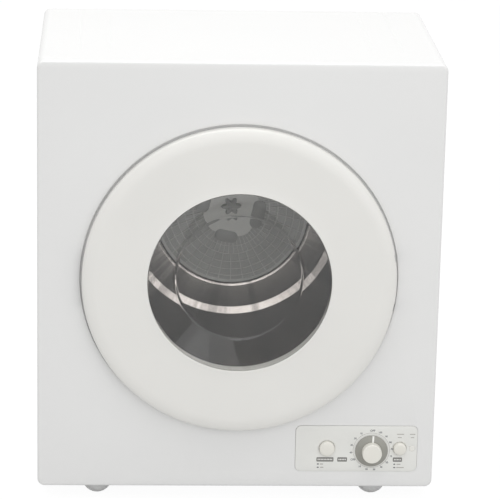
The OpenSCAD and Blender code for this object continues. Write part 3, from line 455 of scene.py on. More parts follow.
def noise(tree, vector, scale, detail=2.0, roughness=0.5, output="Fac"):
    inputs = {"Vector": vector, "Scale": scale, "Detail": detail, "Roughness": roughness}
    return add_node(tree, "ShaderNodeTexNoise", inputs).outputs[output]


def spread(tree, value, low, high, from_low=0.3, from_high=0.7):
    """Maps a value from its usual range onto low to high."""
    source = {"Value": value, "From Min": from_low, "From Max": from_high}
    inputs = {**source, "To Min": low, "To Max": high}
    return add_node(tree, "ShaderNodeMapRange", inputs).outputs["Result"]


def shade(tree, value, share, from_low=0.3, from_high=0.7):
    """1 where the value is high, less by the share where it is low."""
    left = math_node(tree, "SUBTRACT", 1.0, share)
    return spread(tree, value, left, 1.0, from_low, from_high)


def scaled(tree, vector, scale):
    """A vector made longer or shorter, or a colour lighter or darker."""
    inputs = {0: vector, "Scale": scale}
    return add_node(tree, "ShaderNodeVectorMath", inputs, operation="SCALE").outputs[0]


def parts_of(tree, vector):
    return add_node(tree, "ShaderNodeSeparateXYZ", {0: vector}).outputs


def joined(tree, *values):
    inputs = dict(enumerate(values))
    return add_node(tree, "ShaderNodeCombineXYZ", inputs).outputs[0]


def make_coat_group():
    """Sprayed or moulded skin: fine relief, faint clouding and a trace of dust on ledges."""
    sockets = {"Grain Scale": "Float", "Clouding": "Float", "Dust": "Float"}
    group, get, place = new_group("sprayed_skin", {"Dust Colour": "Color", **sockets})
    cloud = noise(group, place, 7.0, 3.0)
    toned = scaled(group, get["Colour"], shade(group, cloud, get["Clouding"]))
    normal = group.nodes.new("ShaderNodeNewGeometry").outputs["Normal"]
    ledge = spread(group, parts_of(group, normal)["Z"], 0.25, 1.0, 0.2, 0.9)
    specks = spread(group, noise(group, place, 160.0, 4.0, 0.65), 0.0, 1.0, 0.52, 0.72)
    amount = times(group, times(group, specks, ledge), get["Dust"])
    dusty = {"Factor": amount, "A": toned, "B": get["Dust Colour"]}
    mix = add_node(group, "ShaderNodeMix", dusty, data_type="RGBA").outputs["Result"]
    rough = plus(group, get["Roughness"], spread(group, cloud, -0.03, 0.03))
    return end_group(group, mix, rough, noise(group, place, get["Grain Scale"], 1.0))


def make_brushed_group():
    """Brushed metal: fine lines along or round the depth axis through the drum, with broad
    painted reflection streaks, darker bands that stand in for surroundings mirrored in the
    steel.
    """
    sockets = {"Line Scale": "Float", "Round": "Float", "Contrast": "Float"}
    group, get, place = new_group("brushed_metal_painted_reflections", {**sockets, "Streaks": "Float"})
    across, depth, level = parts_of(group, place)
    height = math_node(group, "SUBTRACT", level, DRUM_Z * MM)
    square = plus(group, times(group, across, across), times(group, height, height))
    radius = math_node(group, "SQRT", square)
    turn = math_node(group, "ARCTAN2", height, across)

    def lines(x, y, z):
        return noise(group, joined(group, x, y, z), get["Line Scale"], 2.0, 0.6)

    slow_depth, slow_radius = times(group, depth, 0.02), times(group, radius, 0.02)
    round_lines = lines(radius, depth, times(group, turn, 0.004))
    long_lines = lines(times(group, turn, 0.27), slow_depth, slow_radius)
    both = {"Factor": get["Round"], "A": long_lines, "B": round_lines}
    line = add_node(group, "ShaderNodeMix", both).outputs["Result"]
    # The second value picks one run of painted reflection streaks round the drum; they darken
    # the steel in bands as painted reflections of dark surroundings
    reflection_streak = noise(group, joined(group, turn, 38.65), 7.0, 3.0, 0.6)
    fine = shade(group, line, get["Contrast"])
    painted_reflections = shade(group, reflection_streak, get["Streaks"], 0.42, 0.56)
    colour = scaled(group, get["Colour"], times(group, fine, painted_reflections))
    rough = plus(group, get["Roughness"], spread(group, line, -0.02, 0.03))
    return end_group(group, colour, rough, line)


def make_spangle_group():
    """Hot-dip zinc: crystal flakes of slightly different tone, with fine pitting."""
    sockets = {"Flake Scale": "Float", "Contrast": "Float"}
    group, get, place = new_group("zinc_flakes", sockets)
    warp = scaled(group, noise(group, place, 60.0, output="Color"), 0.006)
    moved = add_node(group, "ShaderNodeVectorMath", {0: place, 1: warp}).outputs[0]
    cells = {"Vector": moved, "Scale": get["Flake Scale"]}
    cell = add_node(group, "ShaderNodeTexVoronoi", cells).outputs["Color"]
    flake = add_node(group, "ShaderNodeSeparateColor", {0: cell}).outputs[0]
    tone = shade(group, flake, get["Contrast"], 0.0, 1.0)
    uneven = spread(group, flake, -0.08, 0.08, 0.0, 1.0)
    rough = plus(group, get["Roughness"], uneven)
    pitting = noise(group, place, 700.0, 3.0)
    return end_group(group, scaled(group, get["Colour"], tone), rough, pitting)


def make_fibre_group():
    """Felt and lint screen: crossed fine threads with loose tone."""
    sockets = {"Thread Scale": "Float", "Contrast": "Float"}
    group, get, place = new_group("fine_threads", sockets)
    waves = []
    for axis in ("X", "Z"):
        angle = times(group, parts_of(group, place)[axis], get["Thread Scale"])
        waves.append(math_node(group, "ABSOLUTE", math_node(group, "SINE", angle)))
    weave = times(group, math_node(group, "MAXIMUM", *waves), 0.6)
    height = plus(group, weave, noise(group, place, 1200.0, 3.0, 0.7))
    threads = shade(group, height, get["Contrast"], 0.5, 1.2)
    cloud = spread(group, noise(group, place, 30.0, 4.0, 0.6), 0.88, 1.0)
    colour = scaled(group, get["Colour"], times(group, threads, cloud))
    return end_group(group, colour, get["Roughness"], height)


SPRAYED_SKIN = make_coat_group()
BRUSHED_METAL_AND_REFLECTIONS = make_brushed_group()
ZINC_FLAKES = make_spangle_group()
FINE_THREADS = make_fibre_group()


# ---- finishes


def new_finish(name, metallic=0.0, coat=0.0):
    material = bpy.data.materials.new(name)
    material.use_nodes = True
    tree = material.node_tree
    tree.nodes.clear()
    inputs = {"Metallic": metallic, "Coat Weight": coat, "Coat Roughness": 0.1}
    surface = add_node(tree, "ShaderNodeBsdfPrincipled", inputs)
    add_node(tree, "ShaderNodeOutputMaterial", {"Surface": surface.outputs["BSDF"]})
    return material, tree, surface


def add_bump(tree, surface, height, relief, distance):
    inputs = {"Strength": relief, "Distance": distance * MM, "Height": height}
    bump = add_node(tree, "ShaderNodeBump", inputs)
    tree.links.new(bump.outputs["Normal"], surface.inputs["Normal"])


def show(tree, share, first, second):
    """Shows a mix of two shaders; the share is the second one's."""
    output = next(node for node in tree.nodes if node.type.startswith("OUTPUT"))
    inputs = {"Fac": share, 1: first, 2: second}
    mix = add_node(tree, "ShaderNodeMixShader", inputs)
    tree.links.new(mix.outputs["Shader"], output.inputs["Surface"])


def dressed(name, group, colour, roughness, relief, distance, values, metallic=0.0, coat=0.0):
    """A finish whose colour, roughness and relief come from a shader group."""
    material, tree, surface = new_finish(name, metallic, coat)
    node = add_node(tree, "ShaderNodeGroup", node_tree=group)
    node.inputs["Colour"].default_value = srgb(*colour)
    node.inputs["Roughness"].default_value = roughness
    for label, value in values.items():
        node.inputs[label].default_value = value
    tree.links.new(node.outputs["Colour"], surface.inputs["Base Color"])
    tree.links.new(node.outputs["Roughness"], surface.inputs["Roughness"])
    add_bump(tree, surface, node.outputs["Height"], relief, distance)
    return material


def painted(
    name, colour, roughness, grain, relief, distance=0.05,
    coat=0.0, metallic=0.0, clouding=0.02, dust=0.03,
):
    values = {"Grain Scale": grain, "Clouding": clouding, "Dust": dust}
    values["Dust Colour"] = srgb(168, 164, 156)
    return dressed(
        name, SPRAYED_SKIN, colour, roughness, relief, distance, values, metallic, coat
    )


# The streak amount sets how strongly painted reflection streaks darken the metal in broad
# bands
def brushed(name, colour, roughness, lines=1400.0, turned=1.0, contrast=0.12, reflection_streaks=0.05):
    values = {"Line Scale": lines, "Round": turned, "Contrast": contrast, "Streaks": reflection_streaks}
    return dressed(name, BRUSHED_METAL_AND_REFLECTIONS, colour, roughness, 0.02, 0.002, values, 1.0)


def galvanised(name, colour, roughness, flakes, contrast):
    values = {"Flake Scale": flakes, "Contrast": contrast}
    return dressed(name, ZINC_FLAKES, colour, roughness, 0.1, 0.04, values, 0.85)


def threaded(name, colour, roughness, threads, contrast, relief):
    values = {"Thread Scale": threads, "Contrast": contrast}
    return dressed(name, FINE_THREADS, colour, roughness, relief, 0.3, values)


def clear_pane(name, colour, shade, ior):
    """Tinted clear plastic that lets the lamps' light through to the drum."""
    material, tree, surface = new_finish(name)
    surface.inputs["Base Color"].default_value = srgb(*colour)
    surface.inputs["Roughness"].default_value = 0.0
    surface.inputs["IOR"].default_value = ior
    surface.inputs["Transmission Weight"].default_value = 1.0
    place = tree.nodes.new("ShaderNodeTexCoord").outputs["Object"]
    add_bump(tree, surface, noise(tree, place, 18.0, 1.0), 0.04, 0.05)
    shadow = tree.nodes.new("ShaderNodeLightPath").outputs["Is Shadow Ray"]
    clear = add_node(tree, "ShaderNodeBsdfTransparent", {"Color": srgb(*shade)})
    show(tree, shadow, surface.outputs["BSDF"], clear.outputs["BSDF"])
    return material


def printed(name, colour):
    return painted(name, colour, 0.5, 3000.0, 0.05, 0.02)


def key_plastic(name, colour):
    return painted(name, colour, 0.3, 2200.0, 0.05, 0.03, coat=0.2)


def filter_plastic(name, colour, roughness=0.4):
    return painted(name, colour, roughness, 2200.0, 0.12, 0.05)


ENAMEL = painted(
    "white_enamel", (230, 230, 229), 0.32, 700.0, 0.05, 0.05, coat=0.25, clouding=0.012
)
PANEL_BACK = galvanised("galvanised_sheet", (186, 189, 192), 0.42, 110.0, 0.16)
DOOR_WHITE = painted(
    "moulded_door_white", (230, 229, 225), 0.32, 1500.0, 0.03, 0.03, coat=0.2, dust=0.0
)
DOOR_INSIDE = painted("moulded_door_lining", (222, 221, 216), 0.42, 1800.0, 0.12)
FASCIA_WHITE = painted("fascia_white", (230, 230, 226), 0.4, 2400.0, 0.1, 0.04)
KEY_CREAM = key_plastic("key_cream", (230, 228, 220))
KNOB_GREY = painted("knob_grey", (152, 151, 144), 0.42, 2600.0, 0.15, 0.04)
KNOB_CREAM = key_plastic("knob_cream", (232, 230, 222))
PRINT_GREY = printed("printed_grey", (104, 107, 110))
PRINT_WHITE = printed("printed_white", (236, 236, 232))
PRINT_BAR = printed("printed_bar", (122, 121, 118))
PRINT_PALE = printed("printed_pale", (176, 173, 168))
LENS = painted("lens_milky", (232, 231, 225), 0.18, 600.0, 0.04, 0.03, coat=0.5)
FOOT_RUBBER = painted(
    "foot_rubber", (222, 222, 221), 0.5, 1600.0, 0.1, 0.06, clouding=0.05, dust=0.08
)
SEAL_RUBBER = painted(
    "seal_rubber", (70, 70, 72), 0.55, 1800.0, 0.3, 0.1, clouding=0.08, dust=0.12
)
BELT_RUBBER = painted(
    "belt_rubber", (46, 46, 47), 0.65, 2000.0, 0.4, 0.1, clouding=0.12, dust=0.3
)
GREY_PLASTIC = painted("grey_plastic", (150, 152, 153), 0.48, 2200.0, 0.2, 0.06)
DARK_PLASTIC = painted("dark_plastic", (62, 63, 65), 0.45, 2200.0, 0.2, 0.06)
LIFTER_PLASTIC = painted("lifter_plastic", (205, 205, 203), 0.4, 2000.0, 0.12, 0.05)
FILTER_PLASTIC = filter_plastic("filter_plastic", (168, 168, 166), 0.42)
FILTER_LIGHT = filter_plastic("filter_light", (244, 244, 240))
FILTER_WEB = filter_plastic("filter_web", (216, 216, 213))
MOTOR_PAINT = painted("motor_paint", (84, 88, 94), 0.45, 1000.0, 0.25, 0.06)
CERAMIC = painted("heater_ceramic", (196, 176, 150), 0.7, 900.0, 0.4, 0.1)
CAST_ALLOY = painted(
    "cast_alloy", (168, 170, 172), 0.5, 1200.0, 0.4, 0.08, metallic=0.9, clouding=0.1
)
BRONZE = painted("sintered_bronze", (186, 140, 84), 0.38, 1500.0, 0.25, metallic=1.0)
# The drum back's steel carries painted reflection streaks: darker bands that stand in for
# surroundings mirrored in it
STAINLESS = brushed("stainless_back", (208, 201, 197), 0.24, contrast=0.05, reflection_streaks=0.4)
# The drum shell is the same stainless sheet as the back, painted much darker as painted shade
# for the dark surroundings it mirrors, with strong painted reflection streaks
DRUM_STEEL_PAINTED_DARK = brushed("stainless_shell_painted_dark", (120, 118, 115), 0.07, 260.0, 0.0, 0.05, 0.8)
SHAFT_STEEL = brushed("ground_steel", (170, 172, 175), 0.24, 1800.0)
FELT = threaded("wool_felt", (206, 198, 180), 0.95, 700.0, 0.3, 0.5)
LINT_SCREEN = threaded("lint_screen", (198, 198, 195), 0.6, 2600.0, 0.3, 0.4)
SMOKED = clear_pane("smoked_window", (243, 243, 242), (250, 250, 249), 1.49)


# ---- cabinet


def cabinet_loop(inset):
    width, height = 2 * (SIDE - inset), TOP - BOTTOM - 2 * inset
    return rect_loop(0, (TOP + BOTTOM) / 2, width, height, max(CORNER - inset, 1.0), 10)


def fascia_loop(gap):
    return rect_loop(FASCIA_X, FASCIA_Z, FASCIA_W + 2 * gap, FASCIA_H + 2 * gap, 8 + gap, 8)


def make_front_panel():
    shape = Shape()
    outer = rolled(cabinet_loop, 3.5, 0, 6)
    shape.loft([(cabinet_loop(0), 17.8), *outer])

    def opening(outline, lip):
        shape.loft(rolled(outline, lip, 0, 6))
        return outline(lip)

    def latch_loop(grow):
        return rect_loop(-200, DOOR_Z, 16 + 2 * grow, 24 + 2 * grow, 2 + grow, 4)

    door_hole = opening(lambda grow: ring_loop(0, DOOR_Z, 160 + grow, 160), 1.15)
    fascia_hole = opening(lambda grow: fascia_loop(0.25 + grow), 0.7)
    latch_hole = opening(latch_loop, 0.8)
    # Shallow round channel that the door's edge closes over
    deep, wide, narrow, fillet = 3.2, 236.8, 228.4, 0.8
    channel = [(242, 0), (wide, 0, fillet), (wide, deep, fillet)]
    channel += [(narrow, deep, fillet), (narrow, 0, fillet), (224, 0)]
    loops = [(ring_loop(0, DOOR_Z, r, 160), depth) for r, depth in soften(channel)]
    shape.loft(loops)
    shape.fill([outer[-1][0], loops[0][0], fascia_hole], 0)
    shape.fill([loops[-1][0], door_hole, latch_hole], 0)
    panel = panel_sheet("front_panel_shell", shape, (0, -1, 0))
    finish_piece(panel, ENAMEL, "cabinet", ["front_panel"])


def make_side_panel(side, name, node):
    """A side sheet with the cabinet's round long corner, and a flange at each end."""
    bend = arc(SIDE - CORNER, BOTTOM + CORNER, CORNER, -90, 0, 8)
    section = [(270, BOTTOM), *bend, (SIDE, 652)]
    rows = (18.0, 18.4, 120.0, 250.0, 388.4, 388.8)
    points = []
    for depth in rows:
        inset = 0.5 if depth in (rows[0], rows[-1]) else 0.0
        for x, z in section:
            inner, raised = x - inset * (x > 280), z + inset * (z < 30)
            points.append(at(side * inner, depth, raised))
    shape = Shape().add(points, quads(len(rows), len(section), closed=False))
    panel = panel_sheet(name, shape, (side, 0, 0))
    flanges = Shape()
    left, right = sorted((side * (SIDE - 1.6), side * (SIDE - 15)))
    for depth in (18.6, 386.9):
        flanges.box(left, depth, 60, right, depth + SHEET, 642, 1)
    join_meshes(panel, flanges.mesh(name + "_flanges"))
    finish_piece(panel, ENAMEL, "cabinet", [node])


def make_top_panel():
    """The top sheet with its turned-down skirts and four pressed grooves."""
    # x, front end and rear end of each groove
    grooves = [(-240, 86, 382), (-195, 100, 336), (195, 100, 336), (240, 86, 382)]
    half_width, groove_depth, reach, step = 2.5, 0.5, 1.6, 0.8

    def dip(x, depth):
        for centre, start, end in grooves:
            across = abs(x - centre) / half_width
            along = max(start - depth, depth - end, 0) / half_width
            near = math.hypot(across, along)
            if near < reach:
                return groove_depth * (0.5 + 0.5 * math.cos(math.pi * near / reach))
        return 0.0

    flat = {-280, -260, -215, -120, -60, 0, 60, 120, 215, 260, 280}
    rows = {18.0, 18.5, 40.0, 60.0, 388.6, DEPTH}
    for centre, start, end in grooves:
        flat.update(centre + k * step for k in range(-6, 7))
        for edge in (start, end):
            rows.update(edge + k * step for k in range(-5, 6))
    rows = sorted(rows)
    bend_x, bend_z = SIDE - CORNER, TOP - CORNER
    section = [(-SIDE, 656), *arc(-bend_x, bend_z, CORNER, 180, 90, 10)]
    section += [(x, TOP) for x in sorted(flat)]
    section += [*arc(bend_x, bend_z, CORNER, 90, 0, 10), (SIDE, 656)]
    points = []
    for i, depth in enumerate(rows):
        edge = 0.5 if i in (0, len(rows) - 1) else 0.0
        for x, z in section:
            drop = dip(x, depth) + edge if z > TOP - 0.1 else 0.0
            points.append(at(x * (1 - edge / SIDE), depth, z - drop))
    shape = Shape().add(points, quads(len(rows), len(section), closed=False))
    panel = panel_sheet("top_panel_shell", shape, (0, 0, 1))
    skirt = [(-298.6, 656.2), *arc(-288.6, 668.4, 10, 180, 90, 8)]
    skirt += [*arc(288.6, 668.4, 10, 90, 0, 8), (298.6, 656.2)]
    rear = Shape().loft([(skirt, 388.5), (skirt, 389.9)], ends=True)
    join_meshes(panel, rear.mesh("rear_skirt"))
    finish_piece(panel, ENAMEL, "cabinet", ["top_panel"])


def make_screws():
    """Pan-head screws with a cross recess, on the rear panel and the rear cover."""
    head = soften([(0, -0.2), (4, -0.2), (4, 0.9, 0.6), (2.4, 2.1, 1.2), (0, 2.2)])
    shape = Shape().lathe(0, 0, head, 20)
    shape.lathe(0, 0, [(0, -4.8), (1.9, -4.8), (1.9, -0.1), (0, -0.1)], 12)
    screw = shape.piece("screw")
    to_origin = Matrix.Translation((0, -FACE, 0))
    screw.data.transform(to_origin)
    slots = []
    for angle in (45, 135):
        slot = Shape().box(-2.4, 1.1, -0.45, 2.4, 4, 0.45).piece("slot")
        slot.data.transform(Matrix.Rotation(math.radians(angle), 4, "Y") @ to_origin)
        slots.append(slot)
    carve(screw, slots)
    places = [at(side * 291.8, DEPTH, z) for side in (-1, 1) for z in (82, 351, 616)]
    places += [at(x, DEPTH, 664) for x in (-220, -80, 80, 220)]
    for k in range(6):
        a = math.radians(90 - 60 * k)
        places.append(at(112 * math.sin(a), 391.2, DRUM_Z + 112 * math.cos(a)))
    screws = parts_at("case_screw_heads", screw, places, SHAFT_STEEL)
    finish_piece(screws, SHAFT_STEEL, "cabinet", ["case_screws"], 30)


def make_air_hoods():
    """Pressed hoods over the air slots of the rear panel."""
    rows, across = 6, 12
    for side, name in ((-1, "left_air_hoods"), (1, "right_air_hoods")):
        points = []
        for k in range(rows):
            t = math.pi * k / 8
            for j in range(across + 1):
                s = -1 + 2 * j / across
                rise = 0.1 + 3.4 * math.cos(math.pi / 2 * abs(s) ** 3) * math.sin(t)
                points.append(Vector((31 * s, rise, 1.2 - 4.4 * math.cos(t))) * MM)
        data = Shape().add(points, quads(rows, across + 1, closed=False)).mesh("hood")
        face_along(data, (0, 1, 0))
        data.transform(Matrix.Rotation(math.pi, 4, "Y"))
        part = thicken(link("hood", data), 0.7)
        places = [at(232 * side, DEPTH, 322 + 14 * k) for k in range(8)]
        hoods = parts_at(name, part, places, PANEL_BACK)
        finish_piece(hoods, PANEL_BACK, "cabinet")


def make_rear_cover():
    profile = [(118, 390.1), (118, 391.2, 0.5), (104.5, 391.2, 3), (96, 406, 5)]
    profile += [(60, 406, 2), (57, 404.8, 2), (0, 404.8), (0, 403.6), (57.4, 403.6, 2)]
    profile += [(60.4, 404.8, 2), (95.2, 404.8, 4), (103.5, 390.1, 2)]
    cover = turned_piece(DRUM_Z, "rear_cover_shell", soften(profile, 5), 128)
    drill = Shape()
    for k in range(12):
        a = math.radians(30 * k)
        loop = ring_loop(70 * math.sin(a), DRUM_Z + 70 * math.cos(a), 4, 20)
        drill.loft([(loop, 398), (loop, 410)], ends=True)
    carve(cover, [drill.piece("drill")])
    finish_piece(cover, PANEL_BACK, "cabinet", ["rear_cover"])


def make_exhaust_collar():
    profile = [(47.9, 360.4), (55.5, 360.4, 0.4), (55.5, 361.4, 0.4), (49.5, 361.6, 2)]
    profile += [(49.5, 396), (48.9, 397, 0.8), (48.9, 399, 0.8), (49.5, 400)]
    profile += [(49.5, 412, 0.5), (47.9, 412, 0.5)]
    collar = Shape().lathe(-88, 118, soften(profile), 96).piece("exhaust_collar_tube")
    finish_piece(collar, GREY_PLASTIC, "cabinet", ["exhaust_collar"])


def make_feet():
    """Levelling feet: a pad with a domed underside on a threaded stud."""
    dome, low, steps = 23.0, 10.64, 12
    heights = [low * k / steps for k in range(steps + 1)]
    outline = [(0, 0)] + [(math.sqrt(dome**2 - (BOTTOM - z) ** 2), z) for z in heights]
    outline += soften([(20, low), (20, 21.6, 1.2), (4, 21.6)], 5)[1:]
    for k in range(16):
        outline += [(4, 23.4 + k * 1.2), (3.6, 24.0 + k * 1.2)]
    outline += [(3.4, 43), (0, 43)]
    for depth, end in ((40, "front"), (350, "rear")):
        for x, side in ((-210, "left"), (210, "right")):
            node, body = f"foot_{end}_{side}", f"{end}_{side}_foot"
            pad = Shape().upright(x, depth, outline, 64).piece(node + "_pad")
            finish_piece(pad, FOOT_RUBBER, body, [node])


# ---- door


def hinge_cutter(z):
    """Room for one hinge arm in the door's mouldings, from closed to fully open."""
    half, reach, steps = 4.0, 24.85, 24
    closed = math.degrees(math.atan2(-HINGE_DEPTH, -15))
    opened = closed - SWING
    lean = math.degrees(math.asin(half / reach))

    def along(angle, distance):
        a = math.radians(angle)
        return (HINGE_X + distance * math.cos(a), HINGE_DEPTH + distance * math.sin(a))

    outline = [along(closed + 90, half)]
    for k in range(steps + 1):
        outline.append(along(closed + lean - (SWING + 2 * lean) * k / steps, reach))
    outline.append(along(opened - 90, half))
    points = [at(x, depth, z + up) for up in (-5.5, 5.5) for x, depth in outline]
    return Shape().add(points, quads(2, len(outline), caps=True)).piece("hinge_room")


def door_cutters(height, front):
    """Room for the finger grip and for both hinge arms."""
    outline = rect_loop(-226, DOOR_Z, 28, height, 3, 5)
    grip = Shape().loft([(outline, front), (outline, 1)], ends=True).piece("grip_room")
    return [grip, hinge_cutter(DOOR_Z - HINGE_ARM), hinge_cutter(DOOR_Z + HINGE_ARM)]


def make_door():
    crown = [math.radians(3 * k) for k in range(31)]
    ring = soften([(231.4, -2.1), (234, -2.1, 0.8), (234, -9)])
    ring += [(212 + 22 * math.cos(t), -13.4 - 7.7 * math.sin(t)) for t in crown]
    ring += [(190, -21.1)]
    # Slope down to the bead round the window
    ring += [(158 - 20.4 * k / 8, -21.1 - 0.9 * (k / 8) ** 2) for k in range(8)]
    bead = [(137.6, -22.0, 0.5), (136.5, -21.2, 0.4), (141.5, -19.0, 0.6), (160, -18.2)]
    ring += soften(bead, 6)
    inner = reversed(crown)
    ring += [(211.6 + 19.8 * math.cos(t), -13 - 5.2 * math.sin(t)) for t in inner]
    shell = turned_piece(DOOR_Z, "door_ring_shell", ring, 256)
    carve(shell, door_cutters(84, -12.0))
    finish_piece(shell, DOOR_WHITE, "door", ["door_ring"], 30)

    lining = [(223.6, -4.6), (223.6, -2.0), (158, -2.0, 1.5), (153, -2.0, 2)]
    lining += [(153, 18, 3), (141.9, 18, 2), (141.9, -14.8), (144.5, -14.8)]
    lining += [(144.5, 15.4, 1.5), (150.4, 15.4, 1.5), (150.4, -4.6)]
    inside = turned_piece(DOOR_Z, "door_lining_frame", soften(lining, 5), 224)
    carve(inside, door_cutters(320, -5.6))
    finish_piece(inside, DOOR_INSIDE, "door", ["door_inner_frame"], 30)

    pane = [(144.5, -18.4), (135.6, -18.4, 2), (95, 8, 9), (0, 8), (0, 12.4)]
    pane += [(96.5, 12.4, 6), (136.4, -15.9, 2), (139, -15.0, 1), (144.5, -15.0)]
    window = turned_piece(DOOR_Z, "door_window_bowl", soften(pane, 9), 224)
    finish_piece(window, SMOKED, "door", ["door_window"])

    lip = [(164, -1.9), (173, -1.9), (173, -1.2, 0.6), (169, -0.4, 1.2), (164, -0.9, 0.5)]
    seal = turned_piece(DOOR_Z, "door_seal_lip", soften(lip), 192)
    finish_piece(seal, SEAL_RUBBER, "door", ["door_seal"])


# ---- drum and filter


def make_drum():
    shell = [(190, 30, 1), (273, 31.5, 4), (278, 36, 5), (278, 298.8), (276.8, 298.8)]
    shell += [(276.8, 37.2, 4), (272, 32.7, 4), (191.2, 31.2)]
    shell += [(191.2, 42, 0.3), (190, 42, 0.3)]
    drum = turned_piece(DRUM_Z, "drum_shell_sheet", soften(shell, 5), 256)
    finish_piece(drum, DRUM_STEEL_PAINTED_DARK, "drum", ["drum_shell"])

    back = [(275.6, 286), (275.6, 297.6, 3), (168.2, 297.6, 1.2), (158, 302, 1.2)]
    back += [(122.6, 302, 1.0), (119.4, 303.3, 0.6), (119, 312, 2), (0, 312)]
    back += [(0, 313.2), (120.2, 313.2, 3), (120.6, 304.4, 0.8), (123.2, 303.2, 1.0)]
    back += [(158.4, 303.2, 1.2), (168.7, 298.8, 1.2), (276.8, 298.8, 4), (276.8, 286)]
    wall = turned_piece(DRUM_Z, "drum_back_wall", soften(back, 6), 256)
    finish_piece(wall, STAINLESS, "drum", ["drum_back"])


def make_lifters():
    """Ridges that stand inwards from the shell and run out at both ends."""
    inside = 276.6
    outline = soften([(-31, 0.5), (-10, 33, 9), (0, 38, 10), (10, 33, 9), (31, 0.5)], 6)
    rows = [(60, 0.12), (62, 0.4), (68, 0.72), (78, 0.92), (92, 1.0), (160, 1.0)]
    rows += [(239, 1.0), (253, 0.92), (263, 0.72), (269, 0.4), (271, 0.12)]
    points = []
    for depth, scale in rows:
        for t, height in outline:
            x = math.sqrt(inside**2 - t * t) - height * scale
            points.append(at(x, depth, t * (0.8 + 0.2 * scale)))
    shape = Shape().add(points, quads(len(rows), len(outline), caps=True))
    part = shape.piece("lifter")
    lifters = ring_of("drum_lifter_set", part, 3, LIFTER_PLASTIC, first=math.pi / 2)
    finish_piece(lifters, LIFTER_PLASTIC, "drum", ["drum_lifters"])


def scallop(radius, wave, waves):
    """A round outline with waves, turned to the place of the filter's grip."""
    lean, steps = -0.99, 192
    outline = []
    for k in range(steps):
        a = 2 * math.pi * k / steps
        r = radius + wave * math.cos(waves * (a - lean))
        outline.append((r * math.cos(a), DRUM_Z + r * math.sin(a)))
    return outline


def make_filter():
    """The round lint filter: a rim, rings, fine ribs, a screen and a lobed hub."""

    def place(piece, material, *nodes):
        finish_piece(piece, material, "lint_filter", nodes)

    shape = Shape()
    rim = [(112.5, 311), (112.5, 302.6, 1), (117.4, 302.4, 1.5), (117.4, 311)]
    shape.lathe(0, DRUM_Z, soften(rim), 160)
    for radius in (57, 70, 83, 95, 106):
        inner, outer = radius - 0.8, radius + 0.8
        hoop = [(inner, 305), (inner, 303.4, 0.5), (outer, 303.4, 0.5), (outer, 305)]
        shape.lathe(0, DRUM_Z, soften(hoop, 3), 128)
    place(shape.piece("filter_rings"), FILTER_WEB, "filter_frame")

    half = [(0.7, 305), (0.6, 303.5), (0.3, 303.2)]
    section = half + [(-z, depth) for z, depth in reversed(half)]
    for name, inner, outer, ribs in (
        ("filter_inner_ribs", 38, 70, 54),
        ("filter_outer_ribs", 70, 113, 36),
    ):
        points = [at(x, depth, z) for x in (inner, outer) for z, depth in section]
        rib = Shape().add(points, quads(2, len(section), caps=True)).piece("rib")
        place(ring_of(name, rib, ribs, FILTER_WEB), FILTER_WEB)

    screen = [(22, 305), (113, 305), (113, 306), (22, 306)]
    piece = turned_piece(DRUM_Z, "filter_screen", screen, 96)
    finish_piece(piece, LINT_SCREEN, "lint_filter", ["filter_mesh"])

    hub = [(41, 3.0, 4, 306), (41, 3.0, 4, 303.2), (40.4, 3.0, 4, 302.6)]
    hub += [(24, 1.0, 4, 302.3), (17, 1.0, 6, 302.2)]
    shape = Shape().loft([(scallop(*loop), depth) for *loop, depth in hub], ends=True)
    place(shape.piece("filter_hub_plate"), FILTER_LIGHT)
    grip = [(12.0, 3.0, 302.2), (11.6, 3.0, 301.0), (11.0, 3.0, 294.5)]
    grip += [(10.2, 2.7, 293.4), (8.0, 1.8, 293.1), (4.5, 0.6, 294.6)]
    shape = Shape().loft([(scallop(r, wave, 6), depth) for r, wave, depth in grip], ends=True)
    place(shape.piece("filter_grip_flower"), FILTER_PLASTIC, "filter_grip")
    pad, crest = rect_loop(41, 0, 19, 36, 8.5, 7), rect_loop(41, 0, 17.4, 34.4, 7.7, 7)
    shape = Shape().loft([(pad, 305.5), (pad, 302.0), (crest, 301.4)], ends=True)
    lobe = shape.piece("lobe")
    lobes = ring_of("filter_hub_lobes", lobe, 4, FILTER_PLASTIC, first=-0.205)
    place(lobes, FILTER_PLASTIC)


# ---- controls


def make_fascia():
    holes = [
        lambda grow: ring_loop(KNOB_X, KNOB_Z, 3.5 + grow, 24),
        lambda grow: ring_loop(START_X, KEY_Z, 12.4 + grow, 64),
        lambda grow: ring_loop(HEAT_X, KEY_Z, 10.4 + grow, 64),
        lambda grow: ring_loop(LENS_X, KEY_Z, 4.5 + grow, 32),
    ]
    shape = Shape().plate(lambda inset: fascia_loop(-inset), holes, -0.8, 2.2, 0.35)
    fascia = shape.piece("fascia_plate")
    finish_piece(fascia, FASCIA_WHITE, "cabinet", ["control_fascia"], 30)


def print_flat(name, loops, material, front=PRINT_FRONT, back=PRINT_BACK):
    """Thin raised print, one closed outline after another."""
    shape = Shape()
    for loop in loops:
        shape.loft([(loop, front), (loop, back)], ends=True)
    finish_piece(shape.piece(name), material, "cabinet")


